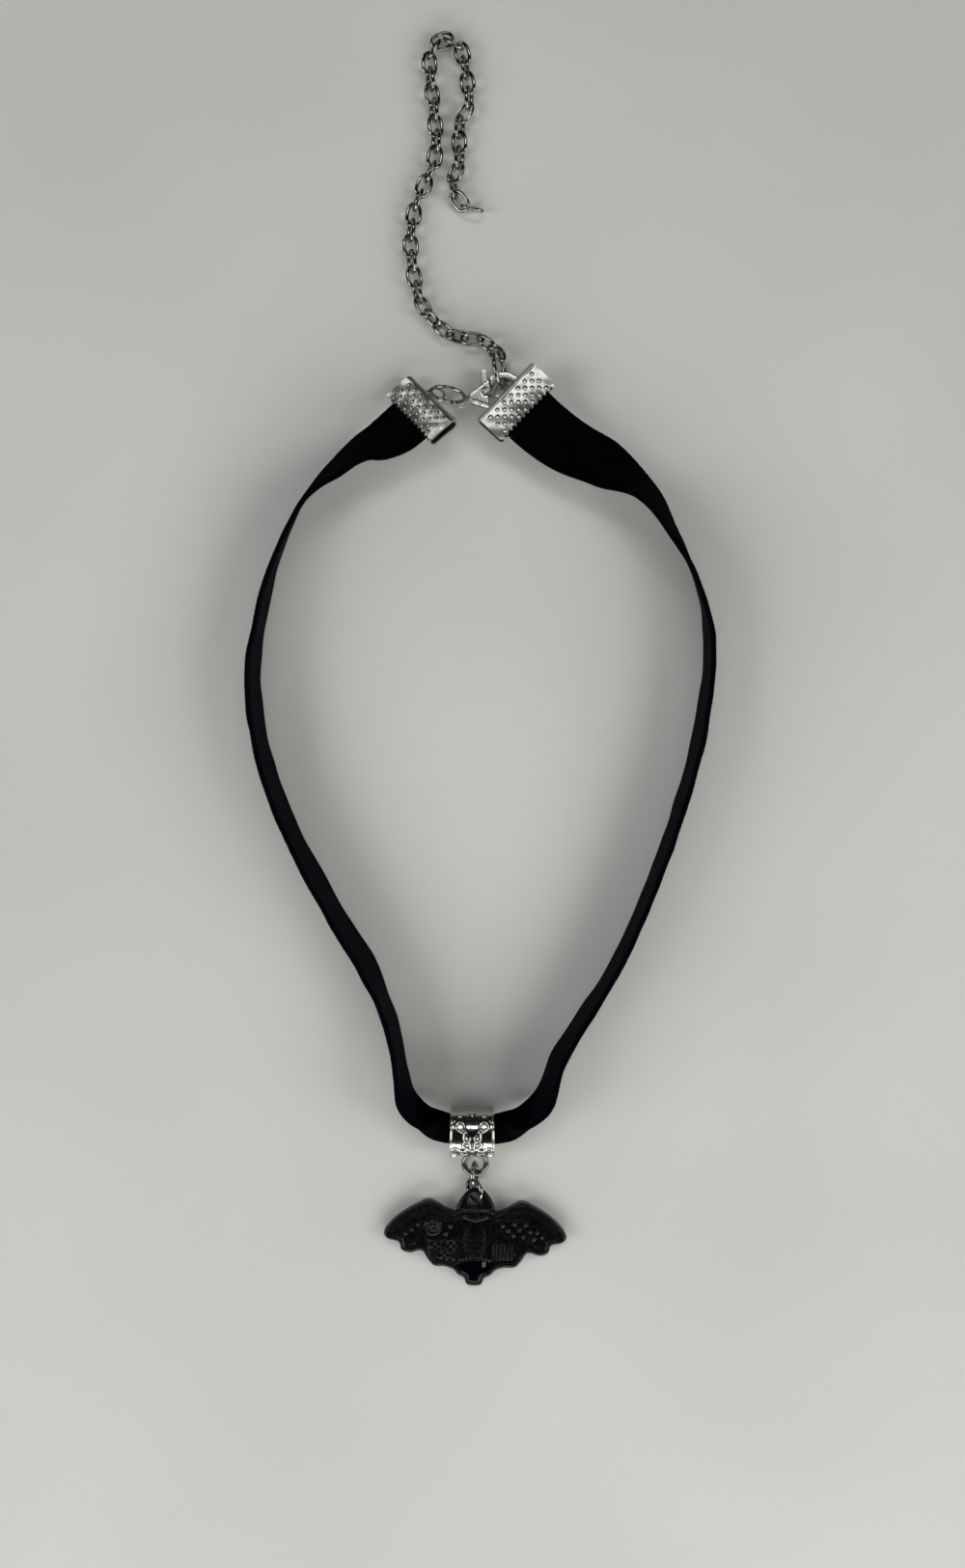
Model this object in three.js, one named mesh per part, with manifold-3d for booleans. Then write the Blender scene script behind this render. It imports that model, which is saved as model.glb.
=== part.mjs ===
// A velvet ribbon choker lying on a table: a ribbon standing on its edge in a pear-shaped loop, a ribbon
// crimp on each end, a lobster clasp with a sprung lever, an extender chain, and a bat pendant that hangs
// from a tube bail. Millimetres, +Z up, the table at z = 0, +Y from the pendant towards the clasp.
import * as THREE from 'three';
import { mergeVertices } from 'three/addons/utils/BufferGeometryUtils.js';
import Module from 'manifold-3d';

const wasm = await Module();
wasm.setup();

// Driving dimensions of the ribbon
const ribbonWidth = 10;
const ribbonThickness = 1;
const loopWidth = 75;
const loopLength = 120;
const neckSpan = 75;
const neckRise = 120;
const neckStart = 0.94;
const ribbonSections = 88;
const ribbonCreases = [-0.5, -0.23, -0.12, 0, 0.12, 0.23, 0.5];
const ribbonBend = 0.4;
const ribbonFold = 176;
const ribbonTuck = 3.2;

// Driving dimensions of the ribbon crimps
const crimpLength = 13;
const crimpDepth = 5.1;
const crimpPlate = 0.4;
const crimpClearance = 0.4;
const crimpFoldRadius = 1.35;
const crimpToothPitch = 1;
const crimpToothLength = 0.5;
const crimpDimplePitch = 1.65;
const crimpDimpleRadius = 0.3;
const crimpDimpleHeight = 0.2;
const crimpDimpleStart = 0.35;
const crimpDimpleSides = 5;
const crimpLoopHole = 1.35;
const crimpLoopWire = 0.42;
const crimpLoopReach = 0.6;
const leftLoop = { droop: 14, shift: -1 };
const rightLoop = { droop: 26, shift: 0 };

// Driving dimensions of the lobster clasp
const claspLength = 12;
const claspWidth = 6.8;
const claspThickness = 2.4;
const claspRimThickness = 1.5;
const claspHoleRadius = 2.1;
const claspNeckRadius = 0.75;
const claspNeckStart = 0.2;
const claspHoleShift = 0.15;
const claspGateAngle = -62;
const claspGateReach = 0.6;
const claspHubStart = 0.5;
const claspHubInset = 0.35;
const claspHubNeck = 0.2;
const claspEyeHole = 0.98;
const claspEyeWire = 0.38;
const leverThickness = 0.9;
const leverClearance = 0.15;
const leverArmWidth = 0.7;
const leverHubRadius = 0.9;
const leverTipTurn = 6;
const leverTabLength = 3.5;
const leverTabShift = 0.1;
const leverTabWidth = 1.05;
const leverSwing = 16;
const rivetShare = 0.6;
const rivetRise = 0.35;
const rivetRadius = 0.42;
const rivetSides = 14;
const rivetClearance = 0.1;

// Driving dimensions of the rings and the chain
const claspRingDiameter = 6.3;
const claspRingWire = 0.62;
const chainRingDiameter = 6.9;
const chainRingWire = 0.7;
const linkLength = 4.2;
const linkWidth = 2.9;
const linkWire = 0.62;
const linkGap = 0.38;
const linkLean = 24;
const linkSway = 4;
const linkSwayTurn = 2.3;
const linkSettle = 0.06;
const linkSquareness = 0.8;
const linkSides = 12;
const linkWireSides = 5;
const ringSides = 16;
const wireSides = 6;

// Driving dimensions of the bail and its rings
const bailDiameter = 8.3;
const bailWall = 0.5;
const bailLength = 7.3;
const bailRingDiameter = 4.6;
const bailRingWire = 0.95;
const bailRingDrop = 12;
const bailRingOffset = 0.45;
const bailRingSink = 0.1;
const bailShift = 0.12;
const bailSides = 28;
const upperRingDiameter = 4.6;
const upperRingWire = 0.7;
const lowerRingDiameter = 4.2;
const lowerRingWire = 0.65;

// Driving dimensions of the bat
const batSpan = 30.6;
const batHeight = 16.3;
const batThickness = 2.5;
const batEdge = 0.5;
const batRim = 1;
const batHoleDiameter = 1.9;
const batHoleAcross = -0.2;
const batHoleRise = 0.385;
const batHeadFloor = 1.1;
const batHeadTop = 1.9;
const batRimHeight = 0.4;
const batReliefHeight = 0.35;
const batKeptInset = 0.97;
const batHeadWidth = 0.21;
const batHeadStart = 0.29;
const batHoleSides = 16;

// The raised work on the bat's field. Places and lengths along the bat are shares of its span and height,
// and widths, radii and heights are in millimetres.
const batBones = [
  { from: [0.07, 0.16], to: [0.25, 0.24], width: 1, height: 0.4 },
  { from: [0.25, 0.26], to: [0.44, 0.04], width: 0.9, height: 0.4 },
  { from: [0.25, 0.24], to: [0.34, -0.08], width: 0.7, height: 0.35 },
  { from: [0.13, 0.12], to: [0.2, -0.2], width: 0.7, height: 0.35 },
];
const batRibs = { rises: [0.1, 0.02, -0.06, -0.14, -0.22], reach: 0.06, width: 0.6, height: 0.7 };
const batBody = { across: 0.06, up: 0.27, drop: 0.03, height: 0.85, sink: 0.25 };
const batSwirl = { at: [-0.225, 0.1], radius: 1.15, thickness: 0.3, stand: 0.05 };
const batBeads = {
  radius: 0.42,
  stand: 0.02,
  at: [[0.17, 0.16], [0.2, 0.09], [0.235, 0.14], [0.16, 0.02], [0.215, 0], [0.3, 0.1]],
};
const batTail = { across: 0.065, up: 0.135, drop: 0.33, height: 0.75 };

const degree = Math.PI / 180;
const up = new THREE.Vector3(0, 0, 1);

// The ribbon's stations, from the left crimp's mouth round to the right crimp's. Across and along are shares
// of the loop's width and length, measured from the bail. Beyond neckStart the ribbon keeps its own span and
// rise, because the crimps and the clasp fit together there. Lean tips the top edge into the loop, lift
// raises the lower edge off the table, in ribbon widths, and fold is how far the ribbon's two edges are
// folded together, as a share of its fold inside the bail.
const ribbonStations = [
  { across: -0.133, along: 0.984, lean: 64, lift: 0.15, fold: 0 },
  { across: -0.163, along: 0.968, lean: 62, lift: 0.13, fold: 0 },
  { across: -0.200, along: 0.954, lean: 53, lift: 0.09, fold: 0 },
  { across: -0.240, along: 0.944, lean: 40, lift: 0.04, fold: 0 },
  { across: -0.291, along: 0.920, lean: 28, lift: 0, fold: 0 },
  { across: -0.373, along: 0.868, lean: 13, lift: 0, fold: 0 },
  { across: -0.445, along: 0.762, lean: 4, lift: 0, fold: 0 },
  { across: -0.482, along: 0.616, lean: -3, lift: 0, fold: 0 },
  { across: -0.435, along: 0.470, lean: -6, lift: 0, fold: 0 },
  { across: -0.311, along: 0.311, lean: -9, lift: 0, fold: 0 },
  { across: -0.233, along: 0.231, lean: -10, lift: 0, fold: 0 },
  { across: -0.178, along: 0.150, lean: -5, lift: 0, fold: 0 },
  { across: -0.157, along: 0.082, lean: -7, lift: 0, fold: 0 },
  { across: -0.141, along: 0.042, lean: -12, lift: 0, fold: 0.02 },
  { across: -0.107, along: 0.016, lean: -10, lift: 0.04, fold: 0.3 },
  { across: -0.053, along: 0.004, lean: -6, lift: 0.2, fold: 1 },
  { across: 0.055, along: 0.003, lean: -6, lift: 0.2, fold: 1 },
  { across: 0.109, along: 0.012, lean: -10, lift: 0.04, fold: 0.35 },
  { across: 0.157, along: 0.042, lean: -12, lift: 0, fold: 0.03 },
  { across: 0.190, along: 0.098, lean: -7, lift: 0, fold: 0 },
  { across: 0.240, along: 0.151, lean: -4, lift: 0, fold: 0 },
  { across: 0.320, along: 0.231, lean: -2, lift: 0, fold: 0 },
  { across: 0.428, along: 0.390, lean: -2, lift: 0, fold: 0 },
  { across: 0.503, along: 0.550, lean: -2, lift: 0, fold: 0 },
  { across: 0.524, along: 0.682, lean: 2, lift: 0, fold: 0 },
  { across: 0.495, along: 0.762, lean: 10, lift: 0, fold: 0 },
  { across: 0.432, along: 0.841, lean: 20, lift: 0, fold: 0 },
  { across: 0.380, along: 0.887, lean: 34, lift: 0.02, fold: 0 },
  { across: 0.293, along: 0.923, lean: 65, lift: 0.15, fold: 0 },
  { across: 0.211, along: 0.947, lean: 80, lift: 0.32, fold: 0 },
  { across: 0.150, along: 0.974, lean: 86, lift: 0.42, fold: 0 },
  { across: 0.121, along: 0.991, lean: 87, lift: 0.43, fold: 0 },
];

// How the clasp and the rings at the loop's top lie: the place of their middles, or of the clasp's eye, with
// beyond measured from the loop's top, and their turns in degrees
const claspPose = { x: -1.85, beyond: 1.85, height: 1.5, heading: 8.5, pitch: 4, roll: 0 };
const claspRingPose = { x: -3.97, beyond: 2.28, height: 3.28, heading: -16, pitch: -32, roll: 81 };
const chainRingPose = { x: 4.66, beyond: 6.43, height: 3.28, heading: 95.3, pitch: -12.5, roll: 72.3 };

// How the rings between the bail and the pendant lie, from the bail's middle
const upperRingPose = { x: 0.5, y: -7.7, height: 2.34, heading: 91, pitch: 0, roll: 80 };
const lowerRingPose = { x: 0.47, y: -10.41, height: 1.74, heading: 101.4, pitch: -2.3, roll: -51.7 };

// Where the pendant's hole hangs from the bail's middle, and the pendant's turn in degrees
const pendantHang = { x: 0.514, y: -12.17 };
const batTurn = -1.5;

// The chain's route from its ring to its last link, in millimetres from the loop's top, with its height over
// where it lies on the table. It climbs beside the loop, doubles back at the top and ends in a small hook.
const chainRoute = [
  [4.78, 8.48, 1.41], [3.4, 10.66, 0.45], [1.24, 12.1, 0.1], [-0.77, 12.27, 0], [-2.9, 12.5, 0],
  [-5.6, 14.4, 0], [-8.4, 17.8, 0], [-9.6, 22.3, 0], [-10.3, 28.6, 0], [-9.5, 34.2, 0],
  [-8.2, 37.6, 0], [-6.8, 40.4, 0], [-6, 43.6, 0], [-6.1, 48, 0], [-6.5, 52.1, 0],
  [-6.89, 55.8, 0], [-7.24, 59, 0], [-5.31, 62.73, 0], [-5.44, 62.94, 0], [-0.93, 60.05, 0],
  [-1.32, 58.47, 0], [-0.33, 51.9, 0], [-2.25, 48, 0], [-2, 44.8, 0], [-2.1, 41.6, 0],
  [-3.2, 38.95, 0], [-2.9, 36.3, 0], [-1.75, 34.6, 0], [1.3, 33.75, 0],
];

// The right half of the bat's outline, from the head down to the tail, as shares of its span and height
const batOutline = [
  { across: 0.030, up: 0.497 },
  { across: 0.072, up: 0.425 },
  { across: 0.100, up: 0.330 },
  { across: 0.106, up: 0.255 },
  { across: 0.165, up: 0.285 },
  { across: 0.215, up: 0.340 },
  { across: 0.258, up: 0.366 },
  { across: 0.315, up: 0.325 },
  { across: 0.405, up: 0.225 },
  { across: 0.470, up: 0.115 },
  { across: 0.500, up: 0.020 },
  { across: 0.478, up: -0.030 },
  { across: 0.418, up: -0.062 },
  { across: 0.400, up: -0.140 },
  { across: 0.356, up: -0.168 },
  { across: 0.290, up: -0.145 },
  { across: 0.255, up: -0.230 },
  { across: 0.222, up: -0.292 },
  { across: 0.160, up: -0.300 },
  { across: 0.115, up: -0.330 },
  { across: 0.085, up: -0.385 },
  { across: 0.045, up: -0.410 },
  { across: 0.026, up: -0.480 },
];

const materials = {
  velvet: new THREE.MeshStandardMaterial({ color: 0x07080d, roughness: 0.95 }),
  plating: new THREE.MeshStandardMaterial({ color: 0xc9c9c6, roughness: 0.2, metalness: 1 }),
  resin: new THREE.MeshStandardMaterial({ color: 0x0c0f12, roughness: 0.3 }),
};

const necklace = new THREE.Group();

function toSolid(geometry) {
  const bare = geometry.clone();
  bare.deleteAttribute('normal');
  bare.deleteAttribute('uv');
  const merged = mergeVertices(bare, 1e-4);
  return new wasm.Manifold(new wasm.Mesh({
    numProp: 3,
    vertProperties: merged.attributes.position.array,
    triVerts: new Uint32Array(merged.index.array),
  }));
}

function toGeometry(solid) {
  const mesh = solid.getMesh();
  const geometry = new THREE.BufferGeometry();
  geometry.setAttribute('position', new THREE.BufferAttribute(mesh.vertProperties, 3));
  geometry.setIndex(new THREE.BufferAttribute(mesh.triVerts, 1));
  return geometry.toNonIndexed();
}

function join(geometries) {
  return geometries.map(toSolid).reduce((whole, solid) => whole.add(solid));
}

function addPiece(name, geometry, material) {
  geometry.computeVertexNormals();
  const mesh = new THREE.Mesh(geometry, material);
  mesh.name = name;
  necklace.add(mesh);
  return mesh;
}

// A closed skin over rows of points. With caps the rows are the sections of a bar, and without them the
// last row joins the first again.
function skin(rows, capped) {
  const around = rows[0].length;
  const positions = rows.flat().flatMap((p) => [p.x, p.y, p.z]);
  const faces = [];
  const spans = capped ? rows.length - 1 : rows.length;
  for (let i = 0; i < spans; i += 1) {
    const next = (i + 1) % rows.length;
    for (let j = 0; j < around; j += 1) {
      const beside = (j + 1) % around;
      const corners = [i * around + j, i * around + beside, next * around + beside, next * around + j];
      faces.push(corners[0], corners[2], corners[1], corners[0], corners[3], corners[2]);
    }
  }
  if (capped) {
    const last = (rows.length - 1) * around;
    for (let j = 0; j < around / 2 - 1; j += 1) {
      const back = around - 1 - j;
      faces.push(j, j + 1, back, j + 1, back - 1, back);
      faces.push(last + j, last + back, last + j + 1, last + j + 1, last + back, last + back - 1);
    }
  }
  const geometry = new THREE.BufferGeometry();
  geometry.setAttribute('position', new THREE.Float32BufferAttribute(positions, 3));
  geometry.setIndex(faces);
  return geometry.toNonIndexed();
}

// A wire ring or oval link lying in the XY plane with its length along X
function wireRing(length, width, wire, sides, round, squareness = 1) {
  const rows = [];
  for (let i = 0; i < sides; i += 1) {
    const turn = (i / sides) * 2 * Math.PI;
    const bend = (value) => Math.sign(value) * Math.abs(value) ** squareness;
    const middle = new THREE.Vector3(
      ((length - wire) / 2) * bend(Math.cos(turn)),
      ((width - wire) / 2) * bend(Math.sin(turn)),
      0,
    );
    const out = new THREE.Vector3(Math.cos(turn) / length, Math.sin(turn) / width, 0).normalize();
    const row = [];
    for (let j = 0; j < round; j += 1) {
      const angle = ((j + 0.5) / round) * 2 * Math.PI;
      row.push(middle.clone()
        .addScaledVector(out, (wire / 2) * Math.cos(angle))
        .addScaledVector(up, (wire / 2) * Math.sin(angle)));
    }
    rows.push(row);
  }
  return skin(rows, false);
}

// Turns a piece so that its length follows a heading and pitch, rolled about that length
function turnTo(mesh, heading, pitch, roll) {
  mesh.rotation.set(roll * degree, -pitch * degree, heading * degree, 'ZYX');
}

// The ribbon

const bailRadius = bailDiameter / 2;
const ribbonPath = new THREE.CatmullRomCurve3(ribbonStations.map(({ across, along }) => (along > neckStart
  ? new THREE.Vector3(across * neckSpan, loopLength - (1 - along) * neckRise, 0)
  : new THREE.Vector3(across * loopWidth, along * loopLength, 0))));
const ribbonPose = new THREE.CatmullRomCurve3(
  ribbonStations.map((s) => new THREE.Vector3(s.lean, s.lift * ribbonWidth, s.fold)),
);

// The directions of the ribbon at a place along it: along it, up its width, and out of its pile side
function ribbonFrame(tangent, lean) {
  const along = tangent.clone().setZ(0).normalize();
  const inward = new THREE.Vector3().crossVectors(up, along);
  const width = up.clone().multiplyScalar(Math.cos(lean)).addScaledVector(inward, Math.sin(lean));
  const pile = up.clone().multiplyScalar(Math.sin(lean)).addScaledVector(inward, -Math.cos(lean));
  return { along, width, pile };
}

// The outline of the ribbon's section about its own middle. The bend is kept to the middle of its width, so
// that a folded ribbon has two flat legs.
function ribbonSection(frame, fold) {
  const turns = ribbonCreases.map((place) => THREE.MathUtils.clamp(place / ribbonBend, -0.5, 0.5));
  const middles = [new THREE.Vector2()];
  for (let k = 1; k < ribbonCreases.length; k += 1) {
    const turn = ((turns[k] + turns[k - 1]) / 2) * fold * ribbonFold * degree;
    const step = (ribbonCreases[k] - ribbonCreases[k - 1]) * ribbonWidth;
    middles.push(new THREE.Vector2(step * Math.cos(turn), -step * Math.sin(turn)).add(middles[k - 1]));
  }
  const box = new THREE.Box2().setFromPoints(middles);
  const centre = box.getCenter(new THREE.Vector2());
  const side = (sign) => middles.map((p, k) => {
    const turn = turns[k] * fold * ribbonFold * degree;
    const half = (sign * ribbonThickness) / 2;
    return new THREE.Vector3()
      .addScaledVector(frame.width, p.x - centre.x + half * Math.sin(turn))
      .addScaledVector(frame.pile, p.y - centre.y + half * Math.cos(turn));
  });
  return [...side(1), ...side(-1).reverse()];
}

function ribbonEnd(share) {
  const t = ribbonPath.getUtoTmapping(share);
  const pose = ribbonPose.getPoint(t);
  const frame = ribbonFrame(ribbonPath.getTangent(t), pose.x * degree);
  const section = ribbonSection(frame, pose.z);
  const lowest = Math.min(...section.map((p) => p.z));
  const middle = ribbonPath.getPoint(t).setZ(pose.y - lowest);
  return { frame, section, middle };
}

function ribbonRows() {
  const rows = [];
  for (let i = 0; i <= ribbonSections; i += 1) {
    const { section, middle } = ribbonEnd(i / ribbonSections);
    rows.push(section.map((p) => p.clone().add(middle)));
  }
  const tucked = (row, frame, distance) => row.map((p) => p.clone().addScaledVector(frame.along, distance));
  rows.unshift(tucked(rows[0], ribbonEnd(0).frame, -ribbonTuck));
  rows.push(tucked(rows[rows.length - 1], ribbonEnd(1).frame, ribbonTuck));
  return rows;
}

addPiece('ribbon', skin(ribbonRows(), true), materials.velvet);

// The crimps

// The folded plate seen from its end: depth runs along x, from the mouth at zero to the fold
function crimpProfile() {
  const mouth = ribbonThickness / 2 + crimpClearance;
  const foldStart = crimpDepth - crimpFoldRadius;
  const shape = new THREE.Shape();
  shape.moveTo(-crimpToothLength, mouth + crimpPlate);
  shape.lineTo(-crimpToothLength, mouth);
  shape.lineTo(foldStart, crimpFoldRadius - crimpPlate);
  shape.absarc(foldStart, 0, crimpFoldRadius - crimpPlate, Math.PI / 2, -Math.PI / 2, true);
  shape.lineTo(-crimpToothLength, -mouth);
  shape.lineTo(-crimpToothLength, -mouth - crimpPlate);
  shape.lineTo(foldStart, -crimpFoldRadius);
  shape.absarc(foldStart, 0, crimpFoldRadius, -Math.PI / 2, Math.PI / 2, false);
  return shape;
}

// The gaps between the teeth, cut straight through both plates
function crimpNotches() {
  const count = Math.round(crimpLength / crimpToothPitch);
  const pitch = crimpLength / count;
  const shape = new THREE.Shape();
  shape.moveTo(-crimpLength, -crimpDepth);
  shape.lineTo(-crimpLength, 0);
  shape.lineTo(-crimpLength / 2, 0);
  for (let i = 0; i < count; i += 1) {
    const start = -crimpLength / 2 + i * pitch;
    shape.lineTo(start + pitch / 2, -crimpToothLength);
    shape.lineTo(start + pitch, 0);
  }
  shape.lineTo(crimpLength, 0);
  shape.lineTo(crimpLength, -crimpDepth);
  const depth = 4 * crimpFoldRadius;
  return new THREE.ExtrudeGeometry(shape, { depth, bevelEnabled: false }).translate(0, 0, -depth / 2);
}

// Raised dimples in staggered rows over the top plate
function crimpDimples() {
  const mouth = ribbonThickness / 2 + crimpClearance + crimpPlate;
  const rise = crimpFoldRadius - mouth;
  const run = crimpDepth - crimpFoldRadius;
  const rowPitch = crimpDimplePitch / 2;
  const rows = Math.floor(run / rowPitch);
  const dimples = [];
  for (let row = 0; row <= rows; row += 1) {
    const y = (row + crimpDimpleStart) * rowPitch;
    if (y > run) continue;
    const count = Math.floor(crimpLength / crimpDimplePitch) - (row % 2);
    for (let i = 0; i < count; i += 1) {
      const x = (i - (count - 1) / 2) * crimpDimplePitch;
      const sunk = crimpPlate / 2;
      const dimple = new THREE.ConeGeometry(crimpDimpleRadius * (1 + sunk / crimpDimpleHeight),
        crimpDimpleHeight + sunk, crimpDimpleSides);
      dimple.rotateX(Math.PI / 2);
      dimple.translate(x, y, mouth + (rise * y) / run + (crimpDimpleHeight - sunk) / 2);
      dimples.push(dimple);
    }
  }
  return dimples;
}

// A crimp with its length along X, its fold and loop towards +Y and its mouth at y = 0. The loop droops from
// the fold by an angle in degrees and stands off the crimp's middle by a shift.
function crimpGeometry({ droop, shift }) {
  const plate = new THREE.ExtrudeGeometry(crimpProfile(), {
    depth: crimpLength, bevelEnabled: false, curveSegments: 8,
  });
  plate.applyMatrix4(new THREE.Matrix4().makeBasis(
    new THREE.Vector3(0, 1, 0), up, new THREE.Vector3(1, 0, 0),
  ));
  plate.translate(-crimpLength / 2, 0, 0);
  const foldStart = crimpDepth - crimpFoldRadius;
  const loop = new THREE.TorusGeometry(crimpLoopHole + crimpLoopWire / 2, crimpLoopWire / 2, 6, 14);
  loop.translate(0, crimpFoldRadius + crimpLoopReach, 0);
  loop.rotateX(-droop * degree).translate(shift, foldStart, 0);
  return toGeometry(join([plate, ...crimpDimples(), loop]).subtract(toSolid(crimpNotches())));
}

function addCrimp(name, share, outward, loop) {
  const { frame, middle } = ribbonEnd(share);
  const toFold = frame.along.clone().multiplyScalar(outward);
  const across = new THREE.Vector3().crossVectors(toFold, frame.pile);
  const crimp = addPiece(name, crimpGeometry(loop), materials.plating);
  crimp.quaternion.setFromRotationMatrix(new THREE.Matrix4().makeBasis(across, toFold, frame.pile));
  crimp.position.copy(middle);
}

addCrimp('crimp_left', 0, -1, leftLoop);
addCrimp('crimp_right', 1, 1, rightLoop);

// The lobster clasp, with its eye at the origin, its hook towards +X and its spine on the +Y side

const eyeRadius = claspEyeHole + claspEyeWire;
const headRadius = claspWidth / 2;
const headX = claspLength - eyeRadius - headRadius;
const neckX = eyeRadius + claspNeckStart;
const holeX = headX + claspHoleShift;
const gateAngle = claspGateAngle * degree;
const pivot = new THREE.Vector2(headX * rivetShare, rivetRise);
const tipAngle = gateAngle - leverTipTurn * degree;
const tipReach = claspHoleRadius - leverArmWidth / 2 - leverClearance;
const armTip = new THREE.Vector2(holeX + tipReach * Math.cos(tipAngle), tipReach * Math.sin(tipAngle));

// A teardrop: two circles joined by their common tangents
function teardrop(neck, neckR, head, headR) {
  const lean = Math.acos((headR - neckR) / (head - neck));
  const shape = new THREE.Shape();
  shape.absarc(head, 0, headR, -(Math.PI - lean), Math.PI - lean, false);
  shape.absarc(neck, 0, neckR, Math.PI - lean, Math.PI + lean, false);
  return shape;
}

function slab(shape, thickness, segments = 10) {
  const geometry = new THREE.ExtrudeGeometry(shape, {
    depth: thickness, bevelEnabled: false, curveSegments: segments,
  });
  return geometry.translate(0, 0, -thickness / 2);
}

// A round-ended bar between two points of the XY plane
function bar(from, to, width, thickness) {
  const turn = Math.atan2(to.y - from.y, to.x - from.x);
  const shape = new THREE.Shape();
  shape.absarc(to.x, to.y, width / 2, turn - Math.PI / 2, turn + Math.PI / 2, false);
  shape.absarc(from.x, from.y, width / 2, turn + Math.PI / 2, turn + 1.5 * Math.PI, false);
  return slab(shape, thickness, 4);
}

function disc(x, y, radius, thickness, sides) {
  return new THREE.CylinderGeometry(radius, radius, thickness, sides).rotateX(Math.PI / 2).translate(x, y, 0);
}

// Where the lever's tab stands out of the spine
const tabTip = new THREE.Vector2(pivot.x + leverTabShift, pivot.y + leverTabLength);

function leverSolid(grown, thickness) {
  return join([
    bar(pivot, armTip, leverArmWidth + grown, thickness),
    bar(pivot, tabTip, leverTabWidth + grown, thickness),
    disc(pivot.x, pivot.y, leverHubRadius + grown / 2, thickness, rivetSides),
  ]);
}

function claspGeometry() {
  const through = 2 * claspThickness;
  const hubX = holeX - claspHoleRadius;
  const outline = teardrop(neckX, claspNeckRadius, headX, headRadius);
  const rim = toSolid(slab(outline, claspRimThickness, 12));
  const hubOutline = teardrop(
    eyeRadius + claspHubStart, claspNeckRadius - claspHubNeck, headX, headRadius - claspHubInset,
  );
  const hubBlock = new THREE.BoxGeometry(2 * hubX, 2 * claspWidth, through);
  const hub = toSolid(slab(hubOutline, claspThickness, 12)).intersect(toSolid(hubBlock));
  const eye = toSolid(new THREE.TorusGeometry(claspEyeHole + claspEyeWire / 2, claspEyeWire / 2, 8, 16));
  const gate = new THREE.Shape();
  gate.moveTo(hubX - claspGateReach, 0);
  gate.lineTo(holeX, 0);
  gate.lineTo(holeX + 2 * claspWidth * Math.cos(gateAngle), 2 * claspWidth * Math.sin(gateAngle));
  gate.lineTo(hubX - claspGateReach, -2 * claspWidth);
  const opening = toSolid(disc(holeX, 0, claspHoleRadius, through, 20));
  const slotThickness = leverThickness + 2 * leverClearance;
  let body = rim.add(hub).add(eye)
    .subtract(opening)
    .subtract(toSolid(slab(gate, through)))
    .subtract(toSolid(disc(0, 0, claspEyeHole, through, 16)))
    .subtract(toSolid(disc(pivot.x, pivot.y, rivetRadius + rivetClearance, through, rivetSides)));
  const grown = 2 * leverClearance;
  for (const swing of [0, leverSwing / 2, leverSwing]) {
    body = body.subtract(leverSolid(grown, slotThickness)
      .translate([-pivot.x, -pivot.y, 0]).rotate([0, 0, swing]).translate([pivot.x, pivot.y, 0]));
  }
  return toGeometry(body);
}

function leverGeometry() {
  const hole = toSolid(disc(pivot.x, pivot.y, rivetRadius + rivetClearance, claspThickness, rivetSides));
  return toGeometry(leverSolid(0, leverThickness).subtract(hole));
}


function addClasp() {
  const rivet = disc(pivot.x, pivot.y, rivetRadius, claspThickness, rivetSides);
  const pieces = [
    addPiece('clasp_body', claspGeometry(), materials.plating),
    addPiece('clasp_lever', leverGeometry(), materials.plating),
    addPiece('clasp_rivet', rivet, materials.plating),
  ];
  for (const piece of pieces) {
    piece.position.set(claspPose.x, loopLength + claspPose.beyond, claspPose.height);
    turnTo(piece, claspPose.heading, claspPose.pitch, claspPose.roll);
  }
}

addClasp();

// The rings by the clasp

function addRing(name, geometry, centre, { heading, pitch, roll }) {
  const ring = addPiece(name, geometry, materials.plating);
  ring.position.copy(centre);
  turnTo(ring, heading, pitch, roll);
}

function addTopRing(name, diameter, wire, pose) {
  const centre = new THREE.Vector3(pose.x, loopLength + pose.beyond, pose.height);
  addRing(name, wireRing(diameter, diameter, wire, ringSides, wireSides), centre, pose);
}

addTopRing('jump_ring_clasp', claspRingDiameter, claspRingWire, claspRingPose);
addTopRing('jump_ring_chain', chainRingDiameter, chainRingWire, chainRingPose);

// The extender chain: links leaning one way and the other, each through the next

function addChain() {
  const places = chainRoute.map(([x, y, z]) => new THREE.Vector3(x, loopLength + y, z));
  const route = new THREE.CatmullRomCurve3(places);
  route.arcLengthDivisions = 2000;
  const pitch = linkLength - 2 * linkWire - linkGap;
  const count = Math.floor(route.getLength() / pitch);
  const geometry = wireRing(linkLength, linkWidth, linkWire, linkSides, linkWireSides, linkSquareness);
  const height = ((linkWidth - linkWire) / 2) * Math.cos(linkLean * degree) + linkWire / 2;
  for (let i = 0; i < count; i += 1) {
    const start = route.getPointAt(i / count);
    const end = route.getPointAt((i + 1) / count);
    const way = end.clone().sub(start);
    const heading = Math.atan2(way.y, way.x) / degree;
    const tilt = Math.atan2(way.z, Math.hypot(way.x, way.y)) / degree;
    const upright = i % 2 === 1;
    const lean = (upright ? linkLean - 90 : linkLean) + linkSway * Math.sin(linkSwayTurn * i);
    const centre = start.clone().lerp(end, 0.5);
    centre.z += upright ? height : height - linkSettle;
    const name = `chain_link_${String(i + 1).padStart(2, '0')}`;
    addRing(name, geometry.clone(), centre, { heading, pitch: tilt, roll: lean });
  }
}

addChain();

// The bail: a tube round the ribbon with a ring soldered below it

const bailCentre = new THREE.Vector3(bailShift, 0, bailRadius);
const bailRingRadius = (bailRingDiameter - bailRingWire) / 2;
const bailRingReach = bailRadius + bailRingRadius - bailRingWire * bailRingSink;

function tube(radius, length, sides) {
  return new THREE.CylinderGeometry(radius, radius, length, sides).rotateZ(Math.PI / 2);
}

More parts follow.
